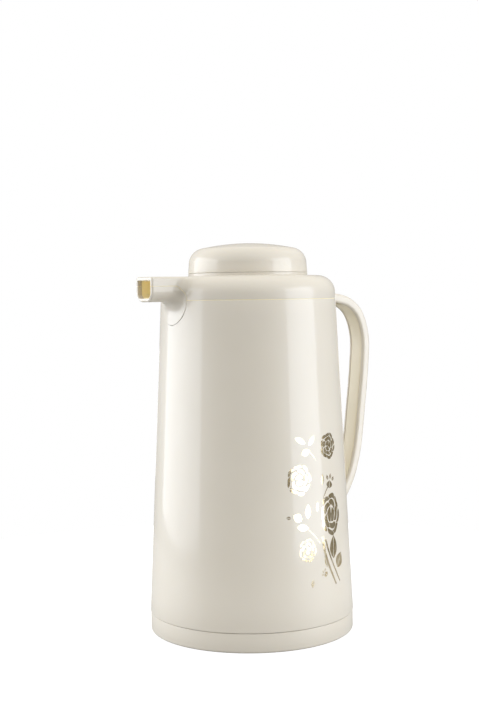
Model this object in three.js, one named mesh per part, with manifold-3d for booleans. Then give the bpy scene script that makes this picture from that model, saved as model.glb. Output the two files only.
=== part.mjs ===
// A glass-lined vacuum jug: a tapered plastic case with a spout and a strap
// handle, and a domed turning stopper that lifts out.
//
// Millimetres, +Z up. The origin is the centre of the underside, on the
// surface that the jug stands on. The spout points to -X, the handle to +X.

import * as THREE from 'three';
import * as BufferGeometryUtils from 'three/addons/utils/BufferGeometryUtils.js';
import Module from 'manifold-3d';

const wasm = await Module();
wasm.setup();

// ---------------------------------------------------------------- dimensions

const GAP = 0.3;              // kept between pieces that touch on the real jug
const LARGE_SEGMENTS = 32;    // facets round the case, the shoulder and the cap
const SMALL_SEGMENTS = 16;    // facets round the stopper's inner pieces
const LINER_SEGMENTS = 24;    // facets round the liner and its seals
const SCREW_SEGMENTS = 8;

// The foot ring and the tapered case
const FOOT = {
  radius: 71.9, top: 13.2, edge: 1.5, wall: 4.4, web: 2.5,
  spigotTop: 20, spigotWall: 2, spigotPlay: 0.5, collarWall: 2,
};
const CASE = { bottom: FOOT.top + GAP, top: 233.2, bottomRadius: 72.2, topRadius: 61.6, wall: 2.2 };

// The shoulder ring: a rounded collar with a well for the stopper
const SHOULDER = {
  bottom: CASE.top + GAP, top: 249.6, radius: 61.4, round: 12, wall: 2,
  spigotRadius: 59, spigotBottom: 226, spigotTop: 235.5,
  rimRadius: 42, rimTop: 251.7,
};
const WELL = { radius: 37, floor: 234.2, wall: 2 };
const THROAT = {
  radius: 24.5, wall: 2, bottom: 214.5, plate: 2.2, opening: 20.5,
  skirtInner: 27.8, skirtWall: 2, skirtDrop: 8,
};

// The spout: a U section, its lower part made with a round boss
const SPOUT = { reach: 83.3, top: 249.4, bottom: 232.4, halfWidth: 11.35, split: 242.9 };
const SPOUT_WALL = 1.8;
const SPOUT_TOP_ROUND = 2;
const SPOUT_BOTTOM_ROUND = 8;
const BOSS = { radius: 15.7, z: 232.2, proud: 0.4 };
const LINING = { fit: 0.15, wall: 0.8, recess: 3 };           // the sleeve in the spout's channel
const SEAM_STRIP = { inner: 59.1, outer: 61.3, play: 0.02 };  // between the case and the shoulder
const SPOUT_GASKET_THICKNESS = 1.2;

// The double-walled glass liner
const GLASS = 1.4;
const LINER = {
  outerRadius: 54, innerRadius: 48, straightBottom: 50, straightTop: 180,
  outerBottomDepth: 28, innerBottomDepth: 20, outerShoulderRise: 22, innerShoulderRise: 16.5,
  neckOuterRadius: 24.5, neckInnerRadius: 19.5, lip: 210,
  pipRadius: 3, pipBore: 1.6, pipBottom: 17, pipRoot: 22.2,
  outerBottomStart: -80, innerBottomStart: -72,
};
const NECK_GASKET = { outer: 27.5, skirt: 5 };

// The bottom cover and what holds the liner up
const COVER = {
  padRadius: 24, radius: 62, recess: 1, top: 3.7, edge: 1, skirtRadius: 51.9, skirtWall: 2.4, skirtTop: 12,
};
const GRIP_POCKET = { from: 32, to: 40, halfWidth: 8, depth: 1.4 };
const BOTTOM_GASKET = { width: 3, top: 10.2 };
const SUPPORT = { bottom: COVER.top + GAP, bore: 10, flangeRadius: 40, tubeRadius: 32, wall: 2.4, top: 19 };
const SUPPORT_RIB = { count: 6, halfWidth: 1, drop: 4 };
const CUSHION = { inner: 20, outer: 38, lip: 2, steps: 3 };

// The strap handle
const HANDLE = { width: 17.5, thickness: 7, round: 2.2, coverWidth: 11.9, coverThickness: 1.8, channel: 4.9 };
const HANDLE_OUTER_EDGE = [   // [distance from the axis, height], from the shoulder down to the case
  [56, 237.2], [72, 236.9], [86.5, 232.8], [97.2, 222.6], [103, 204.6],
  [102.2, 181], [98.8, 151], [94.2, 118.5], [85.2, 93], [64.4, 63.5],
];
const HANDLE_STEPS = 22;
const CHANNEL_START = 0.12;   // the inner strip's ends, as parts of the handle's length
const CHANNEL_END = 0.88;
const STRIP_TRIM = 0.0015;

// Screws, all of one kind, and where the handle's two screws lie
const SCREW = {
  shaft: 1.5, pilot: 1.8, clearance: 1.9, head: 3.2, headHeight: 1.8,
  slotHalfWidth: 0.4, slotDepth: 0.6, overlap: 0.5,
};
const SCREW_HOLE_START = 50;
const SCREW_HOLE_END = 80;
const TOP_SCREW_Z = 232.8;
const TOP_SCREW_TIP = 72.5;
const BOTTOM_SCREW_Z = 80.2;
const BOTTOM_SCREW_TIP = 72.6;

// The stopper: its housing screws into the throat
const HOUSING = {
  radius: 23.6, wall: 2.2, bottom: 216.6, plate: 2, opening: 13,
  flangeRadius: 36.7, flangeBottom: 246.5, flangeTop: 249.5,
};
const SEAL_GROOVE = { depth: 2.1, bottom: 247.1, top: 248.9 };
const WELL_SEAL = { proud: 0.1, bottom: 247.4, top: 248.6 };
const WINDOW = { count: 4, bottom: 236, top: 245, halfWidth: 8, depth: 6 };
const THREAD = { crest: 0.5, pitch: 4, turns: 2.25, bottom: 221, buried: 0.4, steepness: 0.3 };
const GUIDE = { bottom: 230, top: 234, bore: 6.3, radius: 9.5, rib: 2, overlap: 0.5 };

// The knob: the domed cap and the hub that turns in the housing
const CAP = { bottom: 252, radius: 42, roundRadius: 11.2, shoulder: 258.3, shoulderRadius: 41.5, top: 272.7 };
const CAP_WALL = 2.2;
const CAP_DOME_RADIUS = 153;
const HUB = { plateBottom: 253, plateTop: 255, plateRadius: 38.9, tube: 9, bore: 6.2, bottom: 240.4 };
const BEARING = { inner: 19, outer: 21.5 };
const CLIP = { bottom: 244.9, top: 246.1, inner: 8.3, outer: 12.5, halfOpening: 3 };
const POST = { ring: 26, radius: 3.6, top: 268.8, count: 3, boreEnd: 264.8, screwTip: 263.8, screwHead: 2.8 };
const INSULATION = { radius: 21, edge: 1, shoulder: 265, crownRadius: 18, crownEdge: 267.5, crown: 268.5 };

// The valve: a rising disc on a keyed stem
const SEAT = HOUSING.bottom + HOUSING.plate;
const VALVE = {
  bore: 2, discRadius: 15.5, discBottom: 220.7, discTop: 222.7, sealRadius: 16, screwHead: 4.5,
};
const STEM = { radius: 5.4, bottom: 223, top: 246.5, edge: 0.8, boreTop: 234, screwTip: 233 };
const KEY = { bottom: 226, top: 234, reach: 7.3, halfWidth: 1, root: 4.4 };
const ORING = { bottom: 241.4, top: 243.4, grooveRadius: 4.4, ringRadius: 5.3, thickness: 0.75 };

const BEYOND = 120;           // farther out than any piece
const CEILING = 300;          // higher up than any piece

// ------------------------------------------------------------------- helpers

/** A closed three.js geometry as a solid that can be cut and joined. */
function solidOf(geometry) {
  const bare = geometry.clone();
  bare.deleteAttribute('normal');
  bare.deleteAttribute('uv');
  const merged = BufferGeometryUtils.mergeVertices(bare, 1e-4);
  const index = merged.index.array;
  const kept = [];
  for (let i = 0; i < index.length; i += 3) {
    const [a, b, c] = index.slice(i, i + 3);
    if (a !== b && b !== c && c !== a) kept.push(a, b, c);
  }
  return new wasm.Manifold(new wasm.Mesh({
    numProp: 3,
    vertProperties: new Float32Array(merged.attributes.position.array),
    triVerts: new Uint32Array(kept),
  }));
}

/** A solid as a three.js geometry. */
function geometryOf(solid) {
  const mesh = solid.getMesh();
  const geometry = new THREE.BufferGeometry();
  geometry.setAttribute('position', new THREE.BufferAttribute(new Float32Array(mesh.vertProperties), 3));
  geometry.setIndex(new THREE.BufferAttribute(new Uint32Array(mesh.triVerts), 1));
  geometry.computeVertexNormals();
  return geometry;
}

/** Points [r, z] along an arc; angles in degrees from +r towards +z; rz makes it an ellipse. */
function arc(centreR, centreZ, radius, from, to, steps, radiusZ = radius) {
  const points = [];
  for (let i = 0; i <= steps; i++) {
    const angle = THREE.MathUtils.degToRad(from + ((to - from) * i) / steps);
    points.push([centreR + radius * Math.cos(angle), centreZ + radiusZ * Math.sin(angle)]);
  }
  return points;
}

/** Turns an outline of [r, z] points round the Z axis. */
function turned(outline, segments = LARGE_SEGMENTS) {
  let points = outline.map(([r, z]) => new THREE.Vector2(r, z));
  if (THREE.ShapeUtils.area(points) < 0) points = points.reverse();
  const onAxis = points.filter((point) => point.x === 0).length;
  if (onAxis === 0) {
    points.push(points[0].clone());
  } else {
    while (!(points[0].x === 0 && points[points.length - 1].x === 0)) points.push(points.shift());
  }
  return solidOf(new THREE.LatheGeometry(points, segments).rotateX(Math.PI / 2));
}

/** A ring or a disc of rectangular section. */
function ring(inner, outer, bottom, top, segments = LARGE_SEGMENTS) {
  return turned([[inner, bottom], [outer, bottom], [outer, top], [inner, top]], segments);
}

/** A cylinder along X at a height. */
function pinAlongX(radius, from, to, z, segments = SCREW_SEGMENTS) {
  const geometry = new THREE.CylinderGeometry(radius, radius, to - from, segments);
  return solidOf(geometry.rotateZ(Math.PI / 2).translate((from + to) / 2, 0, z));
}

/** A cylinder along Z. */
function pinAlongZ(radius, bottom, top, x = 0, y = 0, segments = SCREW_SEGMENTS) {
  const geometry = new THREE.CylinderGeometry(radius, radius, top - bottom, segments);
  return solidOf(geometry.rotateX(Math.PI / 2).translate(x, y, (bottom + top) / 2));
}

/** A box between two corners. */
function block(low, high) {
  const size = high.map((value, i) => value - low[i]);
  const middle = high.map((value, i) => (value + low[i]) / 2);
  return solidOf(new THREE.BoxGeometry(...size).translate(...middle));
}

/** A helical ridge of triangular section round the Z axis. */
function threadRidge(rootRadius, crest, bottom, pitch, turns) {
  const steps = Math.round(SMALL_SEGMENTS * turns);
  const half = pitch * THREAD.steepness;
  const positions = [];
  const index = [];
  for (let i = 0; i <= steps; i++) {
    const angle = (i / SMALL_SEGMENTS) * Math.PI * 2;
    const z = bottom + (i / SMALL_SEGMENTS) * pitch;
    const root = rootRadius - THREAD.buried;
    for (const [r, height] of [[root, z - half], [rootRadius + crest, z], [root, z + half]]) {
      positions.push(r * Math.cos(angle), r * Math.sin(angle), height);
    }
  }
  for (let i = 0; i < steps; i++) {
    for (let side = 0; side < 3; side++) {
      const a = i * 3 + side;
      const b = i * 3 + ((side + 1) % 3);
      index.push(a, a + 3, b, b, a + 3, b + 3);
    }
  }
  const last = steps * 3;
  index.push(0, 1, 2, last, last + 2, last + 1);
  const geometry = new THREE.BufferGeometry();
  geometry.setAttribute('position', new THREE.Float32BufferAttribute(positions, 3));
  geometry.setIndex(index);
  return solidOf(geometry);
}

/** A pan-head screw along X: the head's outer face is at headX, the tip at tipX. */
function screwAlongX(headX, tipX, z) {
  const inward = Math.sign(tipX - headX);
  const shoulder = headX + inward * SCREW.headHeight;
  const head = pinAlongX(SCREW.head, Math.min(headX, shoulder), Math.max(headX, shoulder), z);
  const shaft = pinAlongX(SCREW.shaft, Math.min(headX, tipX) + SCREW.overlap, Math.max(headX, tipX), z);
  const slot = block(
    [headX - SCREW.slotDepth, -SCREW.head, z - SCREW.slotHalfWidth],
    [headX + SCREW.slotDepth, SCREW.head, z + SCREW.slotHalfWidth],
  );
  return head.add(shaft).subtract(slot);
}

/** A screw along Z with its head at the bottom. */
function screwAlongZ(headBottom, tip, x, y, headRadius = SCREW.head) {
  const head = pinAlongZ(headRadius, headBottom, headBottom + SCREW.headHeight, x, y);
  const shaft = pinAlongZ(SCREW.shaft, headBottom + SCREW.overlap, tip, x, y);
  const slot = block(
    [x - headRadius, y - SCREW.slotHalfWidth, headBottom - SCREW.slotDepth],
    [x + headRadius, y + SCREW.slotHalfWidth, headBottom + SCREW.slotDepth],
  );
  return head.add(shaft).subtract(slot);
}

/** A hole for one of the handle's screws. */
function screwHole(radius, z, end = SCREW_HOLE_END) {
  return pinAlongX(radius, SCREW_HOLE_START, end, z);
}

const below = (z) => block([-BEYOND, -BEYOND, 0], [BEYOND, BEYOND, z]);
const above = (z) => block([-BEYOND, -BEYOND, z], [BEYOND, BEYOND, CEILING]);
const onSpoutSide = block([-BEYOND, -BEYOND, 0], [0, BEYOND, CEILING]);

const model = new THREE.Group();

/** Adds one named piece. */
function addPiece(name, solid, colour, roughness, metalness = 0) {
  const material = new THREE.MeshStandardMaterial({ color: colour, roughness, metalness });
  const mesh = new THREE.Mesh(geometryOf(solid), material);
  mesh.name = name;
  model.add(mesh);
}

const IVORY = [0xefebe0, 0.25];
const BEIGE = [0xd9cfb2, 0.4];
const INNER_PLASTIC = [0xe2dfd6, 0.45];
const AMBER = [0xcbb778, 0.35];
const SILICONE = [0xb9b6ad, 0.7];
const STEEL = [0xb8bcc0, 0.3, 1];
const SILVERED_GLASS = [0xcfd6da, 0.05, 0.9];
const FOAM = [0xf4f4f0, 0.9];

// ------------------------------------------------------------ shared outlines

/** The outer radius of the case at a height. */
function caseRadius(z) {
  const part = (z - CASE.bottom) / (CASE.top - CASE.bottom);
  return CASE.bottomRadius + part * (CASE.topRadius - CASE.bottomRadius);
}

const SHOULDER_ROUND_R = SHOULDER.radius - SHOULDER.round;
const SHOULDER_ROUND_Z = SHOULDER.top - SHOULDER.round;

/** The outside of the case and the shoulder together, as one solid, grown by an offset. */
function bodyEnvelope(offset) {
  return turned([
    [0, CASE.bottom],
    [caseRadius(CASE.bottom) + offset, CASE.bottom],
    [CASE.topRadius + offset, CASE.top],
    ...arc(SHOULDER_ROUND_R, SHOULDER_ROUND_Z, SHOULDER.round + offset, 0, 90, 6),
    [0, SHOULDER.top + offset],
  ]);
}

/** The spout's U section, shrunk by inset, as a bar along X. */
function spoutBar(inset, from, to) {
  const side = SPOUT.halfWidth - inset;
  const top = SPOUT.top - inset;
  const bottom = SPOUT.bottom + inset;
  const topRound = Math.max(SPOUT_TOP_ROUND - inset, 0.5);
  const bottomRound = SPOUT_BOTTOM_ROUND - inset;
  const shape = new THREE.Shape();
  shape.moveTo(side, top - topRound);
  shape.absarc(side - topRound, top - topRound, topRound, 0, Math.PI / 2, false);
  shape.absarc(topRound - side, top - topRound, topRound, Math.PI / 2, Math.PI, false);
  shape.absarc(bottomRound - side, bottom + bottomRound, bottomRound, Math.PI, Math.PI * 1.5, false);
  shape.absarc(side - bottomRound, bottom + bottomRound, bottomRound, Math.PI * 1.5, Math.PI * 2, false);
  const options = { depth: to - from, bevelEnabled: false, curveSegments: 4 };
  const geometry = new THREE.ExtrudeGeometry(shape, options);
  // The shape's x becomes Y, its y becomes Z, and its depth becomes X.
  const axes = new THREE.Matrix4().makeBasis(
    new THREE.Vector3(0, 1, 0), new THREE.Vector3(0, 0, 1), new THREE.Vector3(1, 0, 0),
  );
  return solidOf(geometry.applyMatrix4(axes).translate(from, 0, 0));
}

/** The cylinder that the boss fills, grown by an offset, from outside the jug to x = to. */
function bossPin(offset, to = -45) {
  return pinAlongX(BOSS.radius + offset, -BEYOND, to, BOSS.z, LARGE_SEGMENTS);
}

/** The channel through the spout and the well's wall, shrunk by inset. */
function channelBar(inset) {
  return spoutBar(inset, -SPOUT.reach - 1, -WELL.radius + 3);
}

// ------------------------------------------------------- case, foot, shoulder

function outerCase() {
  const shell = turned([
    [caseRadius(CASE.bottom), CASE.bottom],
    [CASE.topRadius, CASE.top],
    [CASE.topRadius - CASE.wall, CASE.top],
    [caseRadius(CASE.bottom) - CASE.wall, CASE.bottom],
  ]);
  return shell
    .subtract(bossPin(GAP))
    .subtract(screwHole(SCREW.clearance, TOP_SCREW_Z))
    .subtract(screwHole(SCREW.clearance, BOTTOM_SCREW_Z));
}

function baseRing() {
  const spigot = caseRadius(FOOT.spigotTop) - CASE.wall - FOOT.spigotPlay;
  const webBottom = COVER.top + GAP;
  const webTop = webBottom + FOOT.web;
  const collarInner = COVER.skirtRadius + GAP;
  const collarTop = COVER.skirtTop + 1;
  return turned([
    ...arc(FOOT.radius - FOOT.edge, FOOT.edge, FOOT.edge, -90, 0, 3),
    [FOOT.radius, FOOT.top],
    [spigot, FOOT.top],
    [spigot, FOOT.spigotTop],
    [spigot - FOOT.spigotWall, FOOT.spigotTop],
    [spigot - FOOT.spigotWall, webTop],
    [collarInner + FOOT.collarWall, webTop],
    [collarInner + FOOT.collarWall, collarTop],
    [collarInner, collarTop],
    [collarInner, webBottom],
    [FOOT.radius - FOOT.wall, webBottom],
    [FOOT.radius - FOOT.wall, 0],
  ]);
}

function shoulderRing() {
  const inner = SHOULDER.spigotRadius - SHOULDER.wall;
  const plateBottom = THROAT.bottom - THROAT.plate;
  const ringBody = turned([
    [SHOULDER.radius, SHOULDER.bottom],
    ...arc(SHOULDER_ROUND_R, SHOULDER_ROUND_Z, SHOULDER.round, 0, 90, 6),
    [SHOULDER.rimRadius, SHOULDER.top],
    [SHOULDER.rimRadius, SHOULDER.rimTop],
    [WELL.radius, SHOULDER.rimTop],
    [WELL.radius, WELL.floor],
    [THROAT.radius, WELL.floor],
    [THROAT.radius, THROAT.bottom],
    [THROAT.opening, THROAT.bottom],
    [THROAT.opening, plateBottom],
    [THROAT.skirtInner, plateBottom],
    [THROAT.skirtInner, plateBottom - THROAT.skirtDrop],
    [THROAT.skirtInner + THROAT.skirtWall, plateBottom - THROAT.skirtDrop],
    [THROAT.skirtInner + THROAT.skirtWall, THROAT.bottom],
    [THROAT.radius + THROAT.wall, THROAT.bottom],
    [THROAT.radius + THROAT.wall, WELL.floor - WELL.wall],
    [WELL.radius + WELL.wall, WELL.floor - WELL.wall],
    [WELL.radius + WELL.wall, SHOULDER.top - SHOULDER.wall],
    ...arc(SHOULDER_ROUND_R, SHOULDER_ROUND_Z, SHOULDER.round - SHOULDER.wall, 90, 0, 4),
    [SHOULDER.radius - SHOULDER.wall, SHOULDER.spigotTop],
    [inner, SHOULDER.spigotTop],
    [inner, SHOULDER.spigotBottom],
    [SHOULDER.spigotRadius, SHOULDER.spigotBottom],
    [SHOULDER.spigotRadius, SHOULDER.bottom],
  ]);
  const wellEdge = -(WELL.radius + WELL.wall / 2);
  const spoutRoof = spoutBar(0, -SPOUT.reach, wellEdge).intersect(above(SPOUT.split + GAP));
  const troughRoom = spoutBar(-GAP, -SPOUT.reach - 1, -WELL.radius - WELL.wall)
    .intersect(below(SPOUT.split + GAP));
  const spigot = ring(
    inner - 1, SHOULDER.spigotRadius + 0.05,
    SHOULDER.spigotBottom - 1, SHOULDER.spigotTop,
  );
  const bossRoom = bossPin(GAP, -SHOULDER.spigotRadius + 4)
    .intersect(below(SPOUT.split + GAP))
    .subtract(spigot);
  return ringBody
    .add(spoutRoof)
    .subtract(channelBar(SPOUT_WALL))
    .subtract(troughRoom)
    .subtract(bossRoom)
    .subtract(screwHole(SCREW.clearance, TOP_SCREW_Z));
}

/** The inner radius of the gasket between the well's wall and the trough. */
const SPOUT_GASKET_INNER = WELL.radius + WELL.wall + GAP;

function spoutTrough() {
  const innerEnd = -(SPOUT_GASKET_INNER + SPOUT_GASKET_THICKNESS + GAP);
  const bar = spoutBar(0, -SPOUT.reach, innerEnd);
  const bossPlate = bodyEnvelope(BOSS.proud)
    .subtract(bodyEnvelope(-CASE.wall + GAP))
    .intersect(bossPin(0));
  return bar
    .add(bossPlate)
    .subtract(channelBar(SPOUT_WALL))
    .intersect(below(SPOUT.split));
}

function spoutGasket() {
  const outer = SPOUT_GASKET_INNER + SPOUT_GASKET_THICKNESS;
  return spoutBar(0, -SPOUT.reach, -WELL.radius)
    .subtract(channelBar(SPOUT_WALL))
    .intersect(ring(SPOUT_GASKET_INNER, outer, CASE.bottom, SPOUT.split))
    .intersect(onSpoutSide);
}

/** The amber sleeve that the drink runs through. */
function spoutLining() {
  const outside = SPOUT_WALL + LINING.fit;
  return spoutBar(outside, -SPOUT.reach + LINING.recess, -WELL.radius)
    .subtract(channelBar(outside + LINING.wall));
}

/** One of the two amber strips that show as a line between the case and the shoulder; side is 1 or -1. */
function seamStrip(side) {
  const band = ring(
    SEAM_STRIP.inner, SEAM_STRIP.outer,
    CASE.top + SEAM_STRIP.play, SHOULDER.bottom - SEAM_STRIP.play,
  );
  return band
    .subtract(bossPin(GAP))
    .subtract(screwHole(SCREW.clearance, TOP_SCREW_Z))
    .intersect(block([-BEYOND, Math.min(0, side * BEYOND), 0], [BEYOND, Math.max(0, side * BEYOND), CEILING]));
}

// ----------------------------------------------------- liner and bottom cover

function glassLiner() {
  const L = LINER;
  const innerNeckOutside = L.neckInnerRadius + GLASS;
  const outerNeckInside = L.neckOuterRadius - GLASS;
  const lipRound = (L.neckOuterRadius - L.neckInnerRadius) / 2;
  const lipCentre = (L.neckOuterRadius + L.neckInnerRadius) / 2;
  const innerShoulder = L.innerRadius - L.neckInnerRadius;
  const outerShoulder = L.outerRadius - L.neckOuterRadius;
  return turned([
    // inside of the bottle, from the bottom up
    [0, L.straightBottom - L.innerBottomDepth],
    ...arc(0, L.straightBottom, L.innerRadius, L.innerBottomStart, 0, 4, L.innerBottomDepth),
    ...arc(L.neckInnerRadius, L.straightTop, innerShoulder, 0, 90, 4, L.innerShoulderRise),
    ...arc(lipCentre, L.lip - lipRound, lipRound, 180, 0, 4),
    // outside of the outer wall, down to the sealed-off pip
    ...arc(L.neckOuterRadius, L.straightTop, outerShoulder, 90, 0, 5, L.outerShoulderRise),
    ...arc(0, L.straightBottom, L.outerRadius, 0, L.outerBottomStart, 5, L.outerBottomDepth),
    [L.pipRadius, L.pipRoot],
    [L.pipRadius, L.pipBottom],
    [L.pipBore, L.pipBottom],
    // the vacuum side, up the outer wall and down the inner one
    [L.pipBore, L.pipRoot + GLASS],
    ...arc(0, L.straightBottom, L.outerRadius - GLASS, L.outerBottomStart, 0, 5, L.outerBottomDepth - GLASS),
    ...arc(outerNeckInside, L.straightTop, outerShoulder, 0, 90, 5, L.outerShoulderRise - GLASS),
    [outerNeckInside, L.lip - lipRound],
    [innerNeckOutside, L.lip - lipRound],
    ...arc(innerNeckOutside, L.straightTop, innerShoulder, 90, 0, 4, L.innerShoulderRise + GLASS),
    ...arc(0, L.straightBottom, L.innerRadius + GLASS, 0, L.innerBottomStart, 4, L.innerBottomDepth + GLASS),
    [0, L.straightBottom - L.innerBottomDepth - GLASS],
  ], LINER_SEGMENTS);
}

function neckGasket() {
  const inner = LINER.neckOuterRadius + GAP;
  const top = THROAT.bottom - THROAT.plate - GAP;
  return turned([
    [THROAT.opening, LINER.lip + GAP],
    [inner, LINER.lip + GAP],
    [inner, LINER.lip - NECK_GASKET.skirt],
    [NECK_GASKET.outer, LINER.lip - NECK_GASKET.skirt],
    [NECK_GASKET.outer, top],
    [THROAT.opening, top],
  ]);
}

function linerSupport() {
  const S = SUPPORT;
  const cup = turned([
    [S.bore, S.bottom],
    [S.flangeRadius, S.bottom],
    [S.flangeRadius, S.bottom + S.wall],
    [S.tubeRadius, S.bottom + S.wall],
    [S.tubeRadius, S.top],
    [S.tubeRadius - S.wall, S.top],
    [S.tubeRadius - S.wall, S.bottom + S.wall],
    [S.bore, S.bottom + S.wall],
  ]);
  const rib = block(
    [S.tubeRadius - 1, -SUPPORT_RIB.halfWidth, S.bottom + 1],
    [S.flangeRadius - 1, SUPPORT_RIB.halfWidth, S.top - SUPPORT_RIB.drop],
  );
  let support = cup;
  for (let i = 0; i < SUPPORT_RIB.count; i++) {
    support = support.add(rib.rotate([0, 0, (i * 360) / SUPPORT_RIB.count]));
  }
  return support;
}

function linerCushion() {
  const linerBottom = (r) => {
    const part = r / (LINER.outerRadius + GAP);
    return LINER.straightBottom - (LINER.outerBottomDepth + GAP) * Math.sqrt(1 - part * part);
  };
  const seat = [];
  for (let i = 0; i <= CUSHION.steps; i++) {
    const r = CUSHION.inner + ((CUSHION.outer - CUSHION.inner) * i) / CUSHION.steps;
    seat.push([r, linerBottom(r) - 0.1]);
  }
  return turned([
    ...seat,
    [CUSHION.outer, SUPPORT.top - CUSHION.lip],
    [SUPPORT.tubeRadius + GAP, SUPPORT.top - CUSHION.lip],
    [SUPPORT.tubeRadius + GAP, SUPPORT.top + GAP],
    [CUSHION.inner, SUPPORT.top + GAP],
  ]);
}

function bottomCover() {
  const C = COVER;
  const disc = turned([
    [0, 0],
    [C.padRadius, 0],
    [C.padRadius + C.edge, C.recess],
    [C.radius - C.edge, C.recess],
    [C.radius, C.recess + C.edge],
    [C.radius, C.top],
    [C.skirtRadius, C.top],
    [C.skirtRadius, C.skirtTop],
    [C.skirtRadius - C.skirtWall, C.skirtTop],
    [C.skirtRadius - C.skirtWall, C.top],
    [0, C.top],
  ]);
  const gripPocket = block(
    [GRIP_POCKET.from, -GRIP_POCKET.halfWidth, -1],
    [GRIP_POCKET.to, GRIP_POCKET.halfWidth, C.recess + GRIP_POCKET.depth],
  );
  return disc.subtract(gripPocket).subtract(gripPocket.rotate([0, 0, 180]));
}

function bottomGasket() {
  const inner = COVER.skirtRadius + FOOT.collarWall + 2 * GAP;
  const bottom = COVER.top + FOOT.web + 2 * GAP;
  return ring(inner, inner + BOTTOM_GASKET.width, bottom, BOTTOM_GASKET.top);
}

// --------------------------------------------------------------------- handle

/** A band that follows the handle's outer edge, between two depths below it. */
function handleBand(fromDepth, toDepth, width, round, start = 0, end = 1) {
  const curve = new THREE.SplineCurve(HANDLE_OUTER_EDGE.map(([r, z]) => new THREE.Vector2(r, z)));
  const outer = [];
  const inner = [];
  for (let i = 0; i <= HANDLE_STEPS; i++) {
    const t = start + ((end - start) * i) / HANDLE_STEPS;
    const point = curve.getPointAt(t);
    const tangent = curve.getTangentAt(t);
    const inward = new THREE.Vector2(tangent.y, -tangent.x);
    outer.push(point.clone().addScaledVector(inward, fromDepth));
    inner.push(point.clone().addScaledVector(inward, toDepth));
  }
  const shape = new THREE.Shape([...outer, ...inner.reverse()]);
  const options = {
    depth: width - 2 * round,
    bevelEnabled: round > 0,
    bevelThickness: round,
    bevelSize: round,
    bevelOffset: -round,
    bevelSegments: 2,
  };
  const geometry = new THREE.ExtrudeGeometry(shape, options).translate(0, 0, -(width - 2 * round) / 2);
  return solidOf(geometry.rotateX(Math.PI / 2));
}

function handleShell() {
  const depth = HANDLE.thickness;
  const channelWidth = HANDLE.coverWidth + 2 * GAP;
  const channel = handleBand(depth - HANDLE.channel, depth + 2, channelWidth, 0, CHANNEL_START, CHANNEL_END);
  return handleBand(0, depth, HANDLE.width, HANDLE.round)
    .subtract(channel)
    .subtract(bodyEnvelope(GAP))
    .subtract(screwHole(SCREW.pilot, TOP_SCREW_Z, TOP_SCREW_TIP + GAP))
    .subtract(screwHole(SCREW.pilot, BOTTOM_SCREW_Z, BOTTOM_SCREW_TIP + GAP));
}

function handleInnerCover() {
  const start = CHANNEL_START + STRIP_TRIM;
  const end = CHANNEL_END - STRIP_TRIM;
  const depth = HANDLE.thickness - HANDLE.coverThickness;
  return handleBand(depth, HANDLE.thickness, HANDLE.coverWidth, 0, start, end);
}

function handleTopScrew() {
  const head = SHOULDER.spigotRadius - SHOULDER.wall - SCREW.headHeight - GAP;
  return screwAlongX(head, TOP_SCREW_TIP, TOP_SCREW_Z);
}

function handleBottomScrew() {
  const wallInside = caseRadius(BOTTOM_SCREW_Z) - CASE.wall;
  return screwAlongX(wallInside - SCREW.headHeight - 2 * GAP, BOTTOM_SCREW_TIP, BOTTOM_SCREW_Z);
}

// -------------------------------------------------------------------- stopper

function stopperHousing() {
  const H = HOUSING;
  const bore = H.radius - H.wall;
  const grooveRadius = H.flangeRadius - SEAL_GROOVE.depth;
  let housing = turned([
    [H.opening, H.bottom],
    [H.radius, H.bottom],
    [H.radius, H.flangeBottom],
    [H.flangeRadius, H.flangeBottom],
    [H.flangeRadius, SEAL_GROOVE.bottom],
    [grooveRadius, SEAL_GROOVE.bottom],
    [grooveRadius, SEAL_GROOVE.top],
    [H.flangeRadius, SEAL_GROOVE.top],
    [H.flangeRadius, H.flangeTop],
    [HUB.tube + GAP, H.flangeTop],
    [HUB.tube + GAP, H.flangeBottom],
    [bore, H.flangeBottom],
    [bore, H.bottom + H.plate],
    [H.opening, H.bottom + H.plate],
  ]);
  housing = housing.add(threadRidge(H.radius, THREAD.crest, THREAD.bottom, THREAD.pitch, THREAD.turns));
  const window = block(
    [H.radius - WINDOW.depth, -WINDOW.halfWidth, WINDOW.bottom],
    [H.radius + 2, WINDOW.halfWidth, WINDOW.top],
  );
  const rib = block(
    [GUIDE.radius - 1, -GUIDE.rib / 2, GUIDE.bottom],
    [bore + GUIDE.overlap, GUIDE.rib / 2, GUIDE.top],
  );
  const quarter = 360 / WINDOW.count;
  for (let i = 0; i < WINDOW.count; i++) {
    housing = housing
      .subtract(window.rotate([0, 0, i * quarter]))
      .add(rib.rotate([0, 0, (i + 0.5) * quarter]));
  }
  const keyway = block(
    [0, -KEY.halfWidth - GAP, GUIDE.bottom - 1],
    [KEY.reach + GAP, KEY.halfWidth + GAP, GUIDE.top + 1],
  );
  return housing
    .add(ring(GUIDE.bore, GUIDE.radius, GUIDE.bottom, GUIDE.top, SMALL_SEGMENTS))
    .subtract(keyway);
}

function stopperGasket() {
  return ring(THROAT.opening + GAP, HOUSING.radius, THROAT.bottom + GAP, HOUSING.bottom - GAP);
}

function wellSeal() {
  const inner = HOUSING.flangeRadius - SEAL_GROOVE.depth + GAP;
  return ring(inner, HOUSING.flangeRadius + WELL_SEAL.proud, WELL_SEAL.bottom, WELL_SEAL.top);
}

// ----------------------------------------------------------------------- knob

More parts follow.
